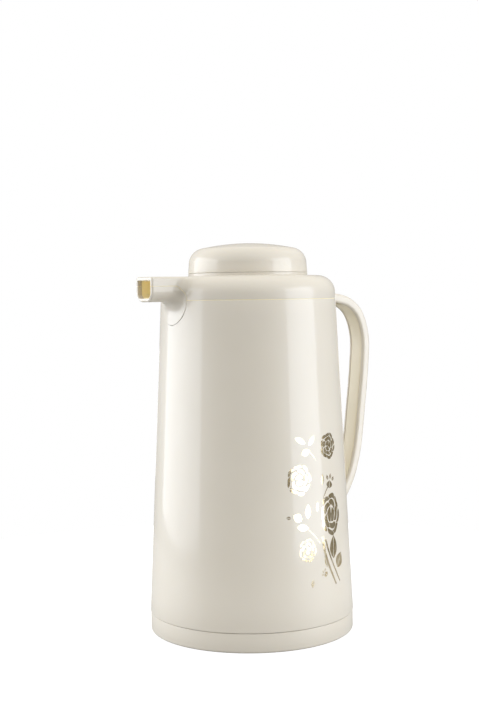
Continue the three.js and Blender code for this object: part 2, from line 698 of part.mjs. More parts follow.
/** The cap's outside from the lower edge to the crown, moved inwards by an inset. */
function capOutline(inset) {
  const centreR = CAP.shoulderRadius - CAP.roundRadius;
  const domeCentre = CAP.top - CAP_DOME_RADIUS;
  const meeting = THREE.MathUtils.radToDeg(Math.atan2(CAP.shoulder - domeCentre, centreR));
  return [
    [CAP.radius - inset, CAP.bottom],
    ...arc(centreR, CAP.shoulder, CAP.roundRadius - inset, 0, meeting, 5),
    ...arc(0, domeCentre, CAP_DOME_RADIUS - inset, meeting, 90, 3).slice(1, -1),
    [0, CAP.top - inset],
  ];
}

function knobCap() {
  let cap = turned([...capOutline(0), ...capOutline(CAP_WALL).reverse()]);
  for (const [x, y] of postPlaces()) {
    cap = cap
      .add(pinAlongZ(POST.radius, HUB.plateTop + GAP, POST.top, x, y))
      .subtract(pinAlongZ(SCREW.pilot, HUB.plateTop - 1, POST.boreEnd, x, y));
  }
  return cap;
}

/** Where the knob's screw posts stand. */
function postPlaces() {
  const places = [];
  for (let i = 0; i < POST.count; i++) {
    const angle = (i / POST.count) * Math.PI * 2;
    places.push([POST.ring * Math.cos(angle), POST.ring * Math.sin(angle)]);
  }
  return places;
}

function knobHub() {
  const groove = CLIP.inner - GAP;
  let hub = turned([
    [0, HUB.plateTop],
    [HUB.plateRadius, HUB.plateTop],
    [HUB.plateRadius, HUB.plateBottom],
    [BEARING.outer, HUB.plateBottom],
    [BEARING.outer, HOUSING.flangeTop + GAP],
    [BEARING.inner, HOUSING.flangeTop + GAP],
    [BEARING.inner, HUB.plateBottom],
    [HUB.tube, HUB.plateBottom],
    [HUB.tube, CLIP.top + GAP],
    [groove, CLIP.top + GAP],
    [groove, CLIP.bottom - GAP],
    [HUB.tube, CLIP.bottom - GAP],
    [HUB.tube, HUB.bottom],
    [HUB.bore, HUB.bottom],
    [HUB.bore, HUB.plateBottom],
    [0, HUB.plateBottom],
  ]);
  for (const [x, y] of postPlaces()) {
    hub = hub.subtract(pinAlongZ(SCREW.clearance, HUB.plateBottom - 1, HUB.plateTop + 1, x, y));
  }
  return hub;
}

function knobScrew(x, y) {
  const head = HUB.plateBottom - GAP - SCREW.headHeight;
  return screwAlongZ(head, POST.screwTip, x, y, POST.screwHead);
}

function retainingClip() {
  const clip = ring(CLIP.inner, CLIP.outer, CLIP.bottom, CLIP.top, SMALL_SEGMENTS);
  const opening = block([0, -CLIP.halfOpening, CLIP.bottom - 1], [CLIP.outer + 1, CLIP.halfOpening, CLIP.top + 1]);
  return clip.subtract(opening);
}

function capInsulation() {
  const F = INSULATION;
  const bottom = HUB.plateTop + GAP;
  return turned([
    [0, bottom],
    [F.radius - F.edge, bottom],
    [F.radius, bottom + F.edge],
    [F.radius, F.shoulder],
    [F.crownRadius, F.crownEdge],
    [0, F.crown],
  ], SMALL_SEGMENTS);
}

// ---------------------------------------------------------------------- valve

function valveStem() {
  const S = STEM;
  const shaft = turned([
    [0, S.boreTop],
    [SCREW.pilot, S.boreTop],
    [SCREW.pilot, S.bottom],
    [S.radius, S.bottom],
    [S.radius, ORING.bottom],
    [ORING.grooveRadius, ORING.bottom],
    [ORING.grooveRadius, ORING.top],
    [S.radius, ORING.top],
    [S.radius, S.top - S.edge],
    [S.radius - S.edge, S.top],
    [0, S.top],
  ], SMALL_SEGMENTS);
  return shaft.add(block([KEY.root, -KEY.halfWidth, KEY.bottom], [KEY.reach, KEY.halfWidth, KEY.top]));
}

function stemOring() {
  const middle = (ORING.bottom + ORING.top) / 2;
  return turned(arc(ORING.ringRadius, middle, ORING.thickness, 0, 315, 7), SMALL_SEGMENTS);
}

function valveDisc() {
  return ring(VALVE.bore, VALVE.discRadius, VALVE.discBottom, VALVE.discTop, SMALL_SEGMENTS);
}

function valveSeal() {
  return ring(VALVE.bore, VALVE.sealRadius, SEAT + GAP, VALVE.discBottom - GAP, SMALL_SEGMENTS);
}

function valveScrew() {
  return screwAlongZ(SEAT - SCREW.headHeight, STEM.screwTip, 0, 0, VALVE.screwHead);
}

// ------------------------------------------------------------------- assembly

addPiece('outer_case', outerCase(), ...IVORY);
addPiece('base_ring', baseRing(), ...IVORY);
addPiece('shoulder_ring', shoulderRing(), ...IVORY);
addPiece('spout_trough', spoutTrough(), ...IVORY);
addPiece('spout_gasket', spoutGasket(), ...SILICONE);
addPiece('spout_lining', spoutLining(), ...AMBER);
addPiece('seam_strip_front', seamStrip(-1), ...AMBER);
addPiece('seam_strip_back', seamStrip(1), ...AMBER);
addPiece('glass_liner', glassLiner(), ...SILVERED_GLASS);
addPiece('neck_gasket', neckGasket(), ...SILICONE);
addPiece('liner_support', linerSupport(), ...INNER_PLASTIC);
addPiece('liner_cushion', linerCushion(), ...SILICONE);
addPiece('bottom_cover', bottomCover(), ...IVORY);
addPiece('bottom_gasket', bottomGasket(), ...SILICONE);
addPiece('handle_shell', handleShell(), ...IVORY);
addPiece('handle_inner_cover', handleInnerCover(), ...BEIGE);
addPiece('handle_top_screw', handleTopScrew(), ...STEEL);
addPiece('handle_bottom_screw', handleBottomScrew(), ...STEEL);

addPiece('stopper_housing', stopperHousing(), ...AMBER);
addPiece('stopper_gasket', stopperGasket(), ...SILICONE);
addPiece('well_seal', wellSeal(), ...SILICONE);

addPiece('knob_cap', knobCap(), ...IVORY);
addPiece('knob_hub', knobHub(), ...INNER_PLASTIC);
postPlaces().forEach(([x, y], i) => addPiece(`knob_screw_${i + 1}`, knobScrew(x, y), ...STEEL));
addPiece('retaining_clip', retainingClip(), ...STEEL);
addPiece('cap_insulation', capInsulation(), ...FOAM);

addPiece('valve_stem', valveStem(), ...INNER_PLASTIC);
addPiece('stem_oring', stemOring(), ...SILICONE);
addPiece('valve_disc', valveDisc(), ...INNER_PLASTIC);
addPiece('valve_seal', valveSeal(), ...SILICONE);
addPiece('valve_screw', valveScrew(), ...STEEL);

export default model;
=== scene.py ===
"""The looks of a glass-lined vacuum jug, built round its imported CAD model.

Everything is modelled in millimetres in the CAD model's frame (spout to -X, handle to +X, +Z up)
and turned into metres as each mesh is made.
"""

import math
import random

import bmesh
import bpy
from mathutils import Matrix, Vector


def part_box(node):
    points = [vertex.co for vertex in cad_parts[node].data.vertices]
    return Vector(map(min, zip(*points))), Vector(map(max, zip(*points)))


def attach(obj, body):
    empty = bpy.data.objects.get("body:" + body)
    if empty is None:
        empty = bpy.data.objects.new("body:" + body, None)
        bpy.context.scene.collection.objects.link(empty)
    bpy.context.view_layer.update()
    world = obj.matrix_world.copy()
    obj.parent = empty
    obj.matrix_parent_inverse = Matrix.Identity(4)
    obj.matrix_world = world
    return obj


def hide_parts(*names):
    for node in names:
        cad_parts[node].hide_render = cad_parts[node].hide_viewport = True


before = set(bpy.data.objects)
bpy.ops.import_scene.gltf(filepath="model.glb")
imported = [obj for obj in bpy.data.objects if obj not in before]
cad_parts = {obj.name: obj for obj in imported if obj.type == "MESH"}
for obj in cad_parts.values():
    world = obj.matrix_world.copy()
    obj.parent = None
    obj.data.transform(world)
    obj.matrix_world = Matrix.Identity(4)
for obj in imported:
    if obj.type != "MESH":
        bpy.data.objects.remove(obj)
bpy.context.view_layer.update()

MM = 0.001
ROUND_SEGMENTS = 240      # round the large turned pieces
GAP = 0.3                 # between pieces that meet at a seam, as in the CAD model
SEAM_DEPTH = 0.1          # how far the amber strips that paint the seams' warm shade lie below the surface
SEAM_OVERLAP = 0.4        # how far the collar's painted-shade strip reaches behind both edges
OUTSIDE = -90             # an X beyond the spout's mouth, where cutters start


# ---------------- the frame's sizes

def low(node):
    """The lowest corner of a CAD node's box, in millimetres."""
    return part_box(node)[0] / MM


def high(node):
    """The highest corner of a CAD node's box, in millimetres."""
    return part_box(node)[1] / MM


FOOT_RADIUS = high("base_ring").y
FOOT_TOP = 13.2
CASE_BOTTOM = low("outer_case").z
CASE_TOP = high("outer_case").z
CASE_BOTTOM_RADIUS = high("outer_case").y
CASE_TOP_RADIUS = 61.6
CASE_WALL = 2.2

SHOULDER_BOTTOM = CASE_TOP + GAP
SHOULDER_RADIUS = 61.4
SHOULDER_TOP = 249.6
SHOULDER_ROUND = 12
SHOULDER_WALL = 2
SPIGOT_RADIUS = 59
SPIGOT_TOP = 235.5
RIM_RADIUS = 42
RIM_TOP = high("shoulder_ring").z
WELL_RADIUS = 37
WELL_FLOOR = 234.2
THROAT_RADIUS = 24.5
THROAT_OPENING = 20.5
THROAT_BOTTOM = 214.5

SPOUT_REACH = -low("shoulder_ring").x
SPOUT_TOP = 249.4
SPOUT_BOTTOM = 232.4
SPOUT_HALF_WIDTH = 11.35
SPOUT_SPLIT = high("spout_trough").z
SPOUT_WALL = 1.8
SPOUT_TOP_ROUND = 2
SPOUT_BOTTOM_ROUND = 8
SPOUT_FILLET = 8          # where the spout's sides run into the body
SPOUT_LOWER_FILLET = 9
SPOUT_INNER_END = -WELL_RADIUS - 4
ROOT_STEPS = 30           # from the spout's sides onto the body
MOUTH_WALL = 2.5          # the thicker lip round the mouth
MOUTH_INNER_ROUND = 3.5
MOUTH_EDGE_ROUND = 1.4
MOUTH_DEPTH = 3
BOSS_RADIUS = 15.7
BOSS_Z = 232.2
BOSS_PROUD = 0.25
BOSS_NOTCH_END = -45      # an X inside the case's wall

CAP_BOTTOM = low("knob_cap").z - 0.15
CAP_TOP = high("knob_cap").z
CAP_RADIUS = high("knob_cap").x
CAP_SHOULDER_RADIUS = 41.5
CAP_SHOULDER = 258.3
CAP_ROUND = 11.2
CAP_DOME_RADIUS = 153
CAP_WALL = 2.2


def case_radius(z):
    """The case's outer radius at a height."""
    part = (z - CASE_BOTTOM) / (CASE_TOP - CASE_BOTTOM)
    return CASE_BOTTOM_RADIUS + part * (CASE_TOP_RADIUS - CASE_BOTTOM_RADIUS)


def body_radius(z):
    """The outer radius of the case and the shoulder together at a height."""
    if z <= CASE_TOP:
        return case_radius(z)
    round_z = SHOULDER_TOP - SHOULDER_ROUND
    if z <= round_z:
        return SHOULDER_RADIUS
    rise = min(z - round_z, SHOULDER_ROUND)
    return SHOULDER_RADIUS - SHOULDER_ROUND + math.sqrt(SHOULDER_ROUND ** 2 - rise ** 2)


def body_x(y, z, offset=0.0):
    """Where the body's surface, moved out by an offset, meets the line at y and z on the spout's side."""
    return -math.sqrt(max((body_radius(z) + offset) ** 2 - y * y, 0))


# ---------------- mesh helpers

def arc(centre_r, centre_z, radius, start, end, steps, radius_z=None):
    """Points (r, z) along an arc or, with radius_z, an ellipse; angles in degrees from +r towards +z."""
    radius_z = radius if radius_z is None else radius_z
    points = []
    for i in range(steps + 1):
        angle = math.radians(start + (end - start) * i / steps)
        points.append((centre_r + radius * math.cos(angle), centre_z + radius_z * math.sin(angle)))
    return points


def rounded(corners, steps=4):
    """A closed outline from corners (r, z, rounding radius)."""
    points = []
    count = len(corners)
    for i, (r, z, radius) in enumerate(corners):
        here = Vector((r, z))
        if radius == 0:
            points.append((r, z))
            continue
        before = (Vector(corners[i - 1][:2]) - here).normalized()
        after = (Vector(corners[(i + 1) % count][:2]) - here).normalized()
        half = before.angle(after) / 2
        reach = radius / math.tan(half)
        centre = here + (before + after).normalized() * (radius / math.sin(half))
        start = here + before * reach - centre
        end = here + after * reach - centre
        turn = start.angle_signed(end)
        for k in range(steps + 1):
            spun = Matrix.Rotation(-turn * k / steps, 2) @ start
            points.append(tuple(centre + spun))
    return points


def subdivided(outline, longest=12):
    """The same closed outline with its long straight stretches cut into shorter ones."""
    points = []
    for i, here in enumerate(outline):
        there = outline[(i + 1) % len(outline)]
        on_axis = here[0] == 0 and there[0] == 0
        length = math.dist(here, there)
        cuts = 1 if on_axis else max(1, math.ceil(length / longest))
        for k in range(cuts):
            t = k / cuts
            points.append((here[0] + (there[0] - here[0]) * t, here[1] + (there[1] - here[1]) * t))
    return points


def mesh_object(name, vertices, faces, smooth_angle=35):
    """An object from vertices in millimetres, shaded smooth up to an edge angle."""
    mesh = bpy.data.meshes.new(name)
    mesh.from_pydata([[c * MM for c in v] for v in vertices], [], faces)
    bm = bmesh.new()
    bm.from_mesh(mesh)
    bmesh.ops.remove_doubles(bm, verts=bm.verts, dist=1e-7)
    bmesh.ops.recalc_face_normals(bm, faces=bm.faces)
    bm.to_mesh(mesh)
    bm.free()
    shade(mesh, smooth_angle)
    obj = bpy.data.objects.new(name, mesh)
    bpy.context.scene.collection.objects.link(obj)
    return obj


def shade(mesh, smooth_angle=35):
    """Smooth shading that keeps edges sharper than an angle."""
    mesh.shade_smooth()
    mesh.set_sharp_from_angle(angle=math.radians(smooth_angle))


def revolve(name, outline, segments=ROUND_SEGMENTS, longest=12):
    """A turned piece from a closed outline of (r, z) points; points with r = 0 lie on the axis."""
    outline = subdivided(outline, longest)
    vertices = []
    rows = []
    for r, z in outline:
        if r == 0:
            rows.append([len(vertices)] * segments)
            vertices.append((0, 0, z))
            continue
        rows.append(list(range(len(vertices), len(vertices) + segments)))
        for k in range(segments):
            angle = 2 * math.pi * k / segments
            vertices.append((r * math.cos(angle), r * math.sin(angle), z))
    faces = []
    for i, row in enumerate(rows):
        following = rows[(i + 1) % len(rows)]
        if outline[i][0] == 0 and outline[(i + 1) % len(rows)][0] == 0:
            continue
        for k in range(segments):
            n = (k + 1) % segments
            corners = [row[k], row[n], following[n], following[k]]
            faces.append(list(dict.fromkeys(corners)))
    return mesh_object(name, vertices, faces)


def grid_object(name, rows, capped=True):
    """An object from rows of points that are closed loops; capped closes the first and last loop."""
    count = len(rows[0])
    vertices = [point for row in rows for point in row]
    faces = []
    for i in range(len(rows) - 1):
        for k in range(count):
            n = (k + 1) % count
            faces.append((i * count + k, i * count + n, (i + 1) * count + n, (i + 1) * count + k))
    if capped:
        faces.append(tuple(range(count)))
        faces.append(tuple(range((len(rows) - 1) * count, len(rows) * count)))
    return mesh_object(name, vertices, faces)


def prism_along_x(name, outline, start, end):
    """A bar along X from an outline of (y, z) points."""
    rows = [[(x, y, z) for y, z in outline] for x in (start, end)]
    return grid_object(name, rows)


def box_object(name, low_corner, high_corner):
    """A box, for cutting."""
    outline = [(low_corner[1], low_corner[2]), (high_corner[1], low_corner[2]),
               (high_corner[1], high_corner[2]), (low_corner[1], high_corner[2])]
    return prism_along_x(name, outline, low_corner[0], high_corner[0])


def combine(target, cutter, operation="DIFFERENCE"):
    """Cuts or joins a piece with another, which is used up."""
    modifier = target.modifiers.new("cut", "BOOLEAN")
    modifier.operation = operation
    modifier.solver = "EXACT"
    modifier.object = cutter
    bpy.context.view_layer.update()
    evaluated = target.evaluated_get(bpy.context.evaluated_depsgraph_get())
    mesh = bpy.data.meshes.new_from_object(evaluated)
    target.modifiers.clear()
    old = target.data
    target.data = mesh
    bpy.data.meshes.remove(old)
    used = cutter.data
    bpy.data.objects.remove(cutter)
    bpy.data.meshes.remove(used)
    shade(mesh)
    return target


def combine_round(target, low_corner, high_corner, angles, operation="DIFFERENCE"):
    """Cuts or joins a piece with boxes that are turned round the Z axis by these angles, in degrees."""
    for angle in angles:
        block = box_object("cutter", low_corner, high_corner)
        block.data.transform(Matrix.Rotation(math.radians(angle), 4, "Z"))
        combine(target, block, operation)


def place(obj, body, material, slot, *nodes):
    """Gives a finished piece its body, material and the CAD nodes that it stands for; the slot is not used.
    """
    obj.data.materials.clear()
    obj.data.materials.append(material)
    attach(obj, body)
    if nodes:
        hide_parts(*nodes)
    return obj


# ---------------- materials

def set_inputs(node, **values):
    """Sets a node's sockets; an underscore in a name stands for a space."""
    for socket, value in values.items():
        node.inputs[socket.replace("_", " ")].default_value = value


class Shader:
    """A node material that is built up step by step."""

    def __init__(self, name, **constants):
        self.material = bpy.data.materials.new(name)
        self.material.use_nodes = True
        self.nodes = self.material.node_tree.nodes
        self.links = self.material.node_tree.links
        self.surface = self.nodes["Principled BSDF"]
        self.place = self.nodes.new("ShaderNodeTexCoord").outputs["Object"]
        set_inputs(self.surface, **constants)

    def noise(self, scale, detail=4, roughness=0.5, stretch=(1, 1, 1)):
        """Noise with about this many lumps in a metre."""
        mapping = self.nodes.new("ShaderNodeMapping")
        set_inputs(mapping, Scale=stretch)
        self.links.new(self.place, mapping.inputs["Vector"])
        noise = self.nodes.new("ShaderNodeTexNoise")
        set_inputs(noise, Scale=scale, Detail=detail, Roughness=roughness)
        self.links.new(mapping.outputs["Vector"], noise.inputs["Vector"])
        return noise.outputs["Fac"]

    def colours(self, value, first, second):
        """The surface's colour, between two colours by a value."""
        ramp = self.nodes.new("ShaderNodeValToRGB")
        stops = zip(ramp.color_ramp.elements, (0.35, 0.65), (first, second))
        for stop, position, colour in stops:
            stop.position = position
            stop.color = (*colour, 1)
        self.links.new(value, ramp.inputs["Fac"])
        self.links.new(ramp.outputs["Color"], self.surface.inputs["Base Color"])

    def rough(self, value, smoothest, roughest):
        """The surface's roughness, between two values."""
        spread = self.nodes.new("ShaderNodeMapRange")
        set_inputs(spread, From_Min=0.3, From_Max=0.7, To_Min=smoothest, To_Max=roughest)
        self.links.new(value, spread.inputs["Value"])
        self.links.new(spread.outputs["Result"], self.surface.inputs["Roughness"])

    def bumps(self, *layers):
        """Relief from layers of (value, height in metres)."""
        normal = None
        for value, height in layers:
            bump = self.nodes.new("ShaderNodeBump")
            set_inputs(bump, Strength=1, Distance=height)
            self.links.new(value, bump.inputs["Height"])
            if normal is not None:
                self.links.new(normal, bump.inputs["Normal"])
            normal = bump.outputs["Normal"]
        self.links.new(normal, self.surface.inputs["Normal"])


def moulded_plastic(name, light, dark, smoothest, roughest, coat=0.0, glow=0.0, through=0.0):
    """Clouded plastic with orange peel and slow waves; through is the strength of a painted glow, an
    emission of the light colour as if thin walls let light in.
    """
    shader = Shader(
        name,
        IOR=1.5,
        Coat_Weight=coat,
        Coat_IOR=1.5,
        Coat_Roughness=0.09,
        Subsurface_Weight=glow,
        Subsurface_Scale=0.002,
        Subsurface_Radius=(1.0, 0.7, 0.35),
        # painted glow: the surface gives off its light colour by the strength through, though it is no lamp
        Emission_Color=(*light, 1),
        Emission_Strength=through,
    )
    shader.colours(shader.noise(22, 3), dark, light)
    shader.rough(shader.noise(160, 5, 0.6), smoothest, roughest)
    shader.bumps((shader.noise(900, 2), 1.6e-6), (shader.noise(26, 1), 3e-5))
    return shader.material


def make_silicone():
    """The seals' dusty silicone rubber."""
    shader = Shader("silicone", IOR=1.42, Sheen_Weight=0.15)
    shader.colours(shader.noise(120, 4), (0.5, 0.48, 0.44), (0.58, 0.56, 0.52))
    shader.rough(shader.noise(400, 5), 0.6, 0.8)
    shader.bumps((shader.noise(2500, 3), 8e-6))
    return shader.material


def make_steel():
    """Turned stainless steel with fine rings of tool marks."""
    shader = Shader("steel", Metallic=1.0)
    shader.colours(shader.noise(300, 3), (0.52, 0.52, 0.53), (0.64, 0.64, 0.65))
    shader.rough(shader.noise(1200, 6, 0.7, stretch=(1, 1, 8)), 0.2, 0.42)
    shader.bumps((shader.noise(1800, 2, stretch=(1, 1, 10)), 4e-6))
    return shader.material


def make_silvered_glass():
    """The liner: a mirror seen through its glass, slightly wavy as blown glass is."""
    shader = Shader("silvered_glass", Metallic=1.0, Coat_Weight=1.0, Coat_Roughness=0.02)
    shader.colours(shader.noise(30, 3), (0.72, 0.74, 0.75), (0.8, 0.81, 0.82))
    shader.rough(shader.noise(60, 3), 0.05, 0.12)
    shader.bumps((shader.noise(35, 2, stretch=(1, 1, 0.4)), 2e-4))
    return shader.material


def make_foam():
    """White cellular foam."""
    shader = Shader("foam", IOR=1.3)
    shader.colours(shader.noise(250, 4), (0.82, 0.82, 0.8), (0.9, 0.9, 0.88))
    shader.rough(shader.noise(300, 3), 0.85, 0.95)
    cells = shader.nodes.new("ShaderNodeTexVoronoi")
    set_inputs(cells, Scale=700)
    shader.links.new(shader.place, cells.inputs["Vector"])
    shader.bumps((cells.outputs["Distance"], 3e-4))
    return shader.material


def make_foil():
    """Hot-stamped pale gold foil: a mirror with fine grain."""
    shader = Shader("gold_foil", Metallic=1.0)
    shader.colours(shader.noise(260, 4), (0.6, 0.48, 0.27), (0.8, 0.7, 0.5))
    shader.rough(shader.noise(900, 4), 0.08, 0.18)
    shader.bumps((shader.noise(1500, 3), 2.5e-6), (shader.noise(160, 2), 3e-5))
    return shader.material


# the pearl ivory of the case, shoulder, spout, cap, foot and handle
IVORY = moulded_plastic(
    "ivory_plastic", (0.69, 0.635, 0.535), (0.675, 0.62, 0.52), 0.42, 0.5, coat=0.5, glow=0.05)
# the satin strip inside the handle
BEIGE = moulded_plastic("beige_plastic", (0.86, 0.79, 0.62), (0.83, 0.76, 0.59), 0.36, 0.46, glow=0.05)
# the stopper's housing
AMBER = moulded_plastic(
    "amber_plastic", (0.63, 0.5, 0.22), (0.58, 0.45, 0.19), 0.25, 0.36, coat=0.2, glow=0.15)
# the paler amber of the sleeve in the spout; the seams' strips wear it as painted warm shade, and its
# emission is a painted glow, as if light came through thin walls
LINING_AND_SEAM_SHADE = moulded_plastic(
    "amber_lining_and_seam_shade", (0.95, 0.83, 0.5), (0.92, 0.79, 0.46), 0.3, 0.4, glow=0.3, through=0.09)
# natural, uncoloured plastic of the hidden pieces
INNER = moulded_plastic("inner_plastic", (0.76, 0.74, 0.68), (0.72, 0.7, 0.64), 0.4, 0.55, glow=0.05)
SILICONE = make_silicone()
STEEL = make_steel()
SILVERED_GLASS = make_silvered_glass()
FOAM = make_foam()
FOIL = make_foil()


# ---------------- camera, floor and light

CAMERA_DISTANCE = 0.8777      # from the jug's axis, level
CAMERA_HEIGHT = 0.2382
CAMERA_AZIMUTH = 33           # degrees from the jug's side towards its spout
CAMERA_YAW = -0.43
CAMERA_PITCH = 3.12           # downwards
CAMERA_ROLL = -0.75
CAMERA_LENS = 61.97           # for a 36 mm high picture


def make_camera():
    """The camera at the photograph's viewing angle."""
    yaw = math.radians(CAMERA_YAW)
    pitch = math.radians(CAMERA_PITCH)
    roll = math.radians(CAMERA_ROLL)
    forward = Vector((math.sin(yaw) * math.cos(pitch), math.cos(yaw) * math.cos(pitch), -math.sin(pitch)))
    right = Vector((math.cos(yaw), -math.sin(yaw), 0))
    up = right.cross(forward)
    tilted_right = right * math.cos(roll) + up * math.sin(roll)
    tilted_up = up * math.cos(roll) - right * math.sin(roll)
    turn = Matrix.Rotation(math.radians(-CAMERA_AZIMUTH), 4, "Z")
    axes = Matrix((tilted_right, tilted_up, -forward)).transposed().to_4x4()
    data = bpy.data.cameras.new("camera")
    data.lens = CAMERA_LENS
    data.sensor_width = 36
    data.clip_start = 0.01
    camera = bpy.data.objects.new("camera", data)
    bpy.context.scene.collection.objects.link(camera)
    camera.matrix_world = turn @ Matrix.Translation((0, -CAMERA_DISTANCE, CAMERA_HEIGHT)) @ axes
    bpy.context.scene.camera = camera


FLOOR_RADIUS = 0.4
FLOOR_COLOUR = (0.45, 0.45, 0.45)
FLOOR_GLOW = 0.7              # for the camera only: the jug isn't lit by it
BACKDROP = 1.0                # how bright the camera sees the room
HORIZON_LIGHT = 0.3           # how bright the jug sees the room, level with it
ZENITH_LIGHT = 1.3            # and straight above it
OVERHEAD_COLOUR = (1, 0.99, 0.97)
SOFTBOX_COLOUR = (0.9, 0.95, 1.04)
SOFTBOX_BOTTOM = -0.08        # below the floor's level, so that the lowest foil catches the light
SOFTBOX_TOP = 0.8
BACK_SOFTBOX_TOP = 0.15


def split_for_camera(tree, lit, seen, output):
    """Gives an output one shader for the light in the scene and another for the camera's view."""
    path = tree.nodes.new("ShaderNodeLightPath")
    mix = tree.nodes.new("ShaderNodeMixShader")
    tree.links.new(path.outputs["Is Camera Ray"], mix.inputs["Fac"])
    tree.links.new(lit.outputs[0], mix.inputs[1])
    tree.links.new(seen.outputs[0], mix.inputs[2])
    tree.links.new(mix.outputs["Shader"], tree.nodes[output].inputs["Surface"])


def make_floor():
    """A plain pale round floor."""
    edge = arc(0, 0, FLOOR_RADIUS / MM, 0, 357.5, 143)
    floor = mesh_object("floor", [(x, y, 0) for x, y in edge], [tuple(range(len(edge)))])
    material = bpy.data.materials.new("floor")
    material.use_nodes = True
    tree = material.node_tree
    surface = tree.nodes["Principled BSDF"]
    set_inputs(surface, Base_Color=(*FLOOR_COLOUR, 1), Roughness=0.7, Specular_IOR_Level=0.2)
    glow = tree.nodes.new("ShaderNodeEmission")
    set_inputs(glow, Color=(1, 1, 1, 1), Strength=FLOOR_GLOW)
    glowing = tree.nodes.new("ShaderNodeAddShader")
    tree.links.new(surface.outputs["BSDF"], glowing.inputs[0])
    tree.links.new(glow.outputs["Emission"], glowing.inputs[1])
    split_for_camera(tree, surface, glowing, "Material Output")
    floor.data.materials.append(material)


def softbox(name, azimuth, distance, width, top, radiance):
    """An upright soft box that faces the jug; azimuths run round the jug from the camera, rightwards."""
    tall = top - SOFTBOX_BOTTOM
    middle = (top + SOFTBOX_BOTTOM) / 2
    data = bpy.data.lights.new(name, "AREA")
    data.shape = "RECTANGLE"
    data.size = width
    data.size_y = tall
    data.energy = radiance * math.pi * width * tall
    data.color = SOFTBOX_COLOUR
    lamp = bpy.data.objects.new(name, data)
    bpy.context.scene.collection.objects.link(lamp)
    angle = math.radians(azimuth - CAMERA_AZIMUTH)
    lamp.location = (distance * math.sin(angle), -distance * math.cos(angle), middle)
    lamp.rotation_euler = (Vector((0, 0, middle)) - lamp.location).to_track_quat("-Z", "Y").to_euler()


def make_room():
    """The room: bright overhead, dark towards the horizon, and pale where the camera looks at it."""
    world = bpy.data.worlds.new("room")
    bpy.context.scene.world = world
    world.use_nodes = True
    tree = world.node_tree
    backdrop = tree.nodes["Background"]
    set_inputs(backdrop, Color=(1, 1, 1, 1), Strength=BACKDROP)
    overhead = tree.nodes.new("ShaderNodeBackground")
    set_inputs(overhead, Color=(*OVERHEAD_COLOUR, 1))
    direction = tree.nodes.new("ShaderNodeTexCoord")
    parts = tree.nodes.new("ShaderNodeSeparateXYZ")
    height = tree.nodes.new("ShaderNodeMapRange")
    height.interpolation_type = "SMOOTHSTEP"
    set_inputs(height, To_Min=HORIZON_LIGHT, To_Max=ZENITH_LIGHT)
    tree.links.new(direction.outputs["Generated"], parts.inputs["Vector"])
    tree.links.new(parts.outputs["Z"], height.inputs["Value"])
    tree.links.new(height.outputs["Result"], overhead.inputs["Strength"])
    split_for_camera(tree, overhead, backdrop, "World Output")


def make_light():
    """Upright soft boxes beside and behind the jug in a room that is lit from overhead."""
    softbox("right_softbox", azimuth=70.5, distance=1.1, width=0.87, top=SOFTBOX_TOP, radiance=4.2)
    softbox("left_softbox", azimuth=-92.5, distance=1.1, width=1.4, top=SOFTBOX_TOP, radiance=3.4)
    softbox("back_softbox", azimuth=180, distance=1.3, width=0.9, top=BACK_SOFTBOX_TOP, radiance=1.2)
    make_room()
    bpy.context.scene.view_settings.view_transform = "Standard"


make_camera()
make_floor()
make_light()


# ---------------- case, foot and shoulder

def spout_outline(inset, top=SPOUT_TOP + 1, corner=None):
    """The spout's whole section as (y, z) points, cut off flat at a height."""
    arc_steps = 10
    side = SPOUT_HALF_WIDTH - inset
    highest = SPOUT_TOP - inset
    lowest = SPOUT_BOTTOM + inset
    top_round = max(SPOUT_TOP_ROUND - inset, 0.6)
    bottom_round = SPOUT_BOTTOM_ROUND - inset if corner is None else corner
    outline = [
        *arc(side - top_round, highest - top_round, top_round, 0, 90, arc_steps),
        *arc(top_round - side, highest - top_round, top_round, 90, 180, arc_steps),
        *arc(bottom_round - side, lowest + bottom_round, bottom_round, 180, 270, arc_steps),
        *arc(side - bottom_round, lowest + bottom_round, bottom_round, 270, 360, arc_steps),
    ]
    outline = [(y, min(z, top)) for y, z in outline]
    return list(dict.fromkeys(outline))


def cut_boss_notch(piece):
    """Cuts the round notch that the spout's boss lies in."""
    segments = 96
    circle = arc(0, BOSS_Z, BOSS_RADIUS + GAP, 0, 360 - 360 / segments, segments - 1)
    combine(piece, prism_along_x("cutter", circle, OUTSIDE, BOSS_NOTCH_END))


def outer_case():
    """The tapered shell with the boss's notch."""
    inner = CASE_WALL
    case = revolve("outer_case_shell", rounded([
        (CASE_BOTTOM_RADIUS, CASE_BOTTOM, 0.35),
        (CASE_TOP_RADIUS, CASE_TOP, 0.15),
        (CASE_TOP_RADIUS - inner, CASE_TOP, 0.2),
        (CASE_BOTTOM_RADIUS - inner, CASE_BOTTOM, 0.2),
    ]))
    cut_boss_notch(case)
    return place(case, "root", IVORY, "ivory_plastic", "outer_case")


def foot_ring():
    """The foot ring with its softly rounded lower edge."""
    web_bottom = high("bottom_cover").z - 8
    web_top = 6.5
    spigot_top = 20
    spigot = case_radius(spigot_top) - CASE_WALL - 0.5
    inner_wall = high("bottom_cover").x - 9.8
    inner_top = 13
    rim = FOOT_RADIUS - 4.4
    foot = revolve("foot_ring", rounded([
        (FOOT_RADIUS, 0, 1.5),
        (FOOT_RADIUS, FOOT_TOP, 0.35),
        (spigot, FOOT_TOP, 0),
        (spigot, spigot_top, 0.3),
        (spigot - 2, spigot_top, 0.3),
        (spigot - 2, web_top, 0.5),
        (inner_wall + 2, web_top, 0.5),
        (inner_wall + 2, inner_top, 0.3),
        (inner_wall, inner_top, 0.3),
        (inner_wall, web_bottom, 0.3),
        (rim, web_bottom, 0.6),
        (rim, 0, 0.6),
    ]))
    return place(foot, "root", IVORY, "ivory_plastic", "base_ring")


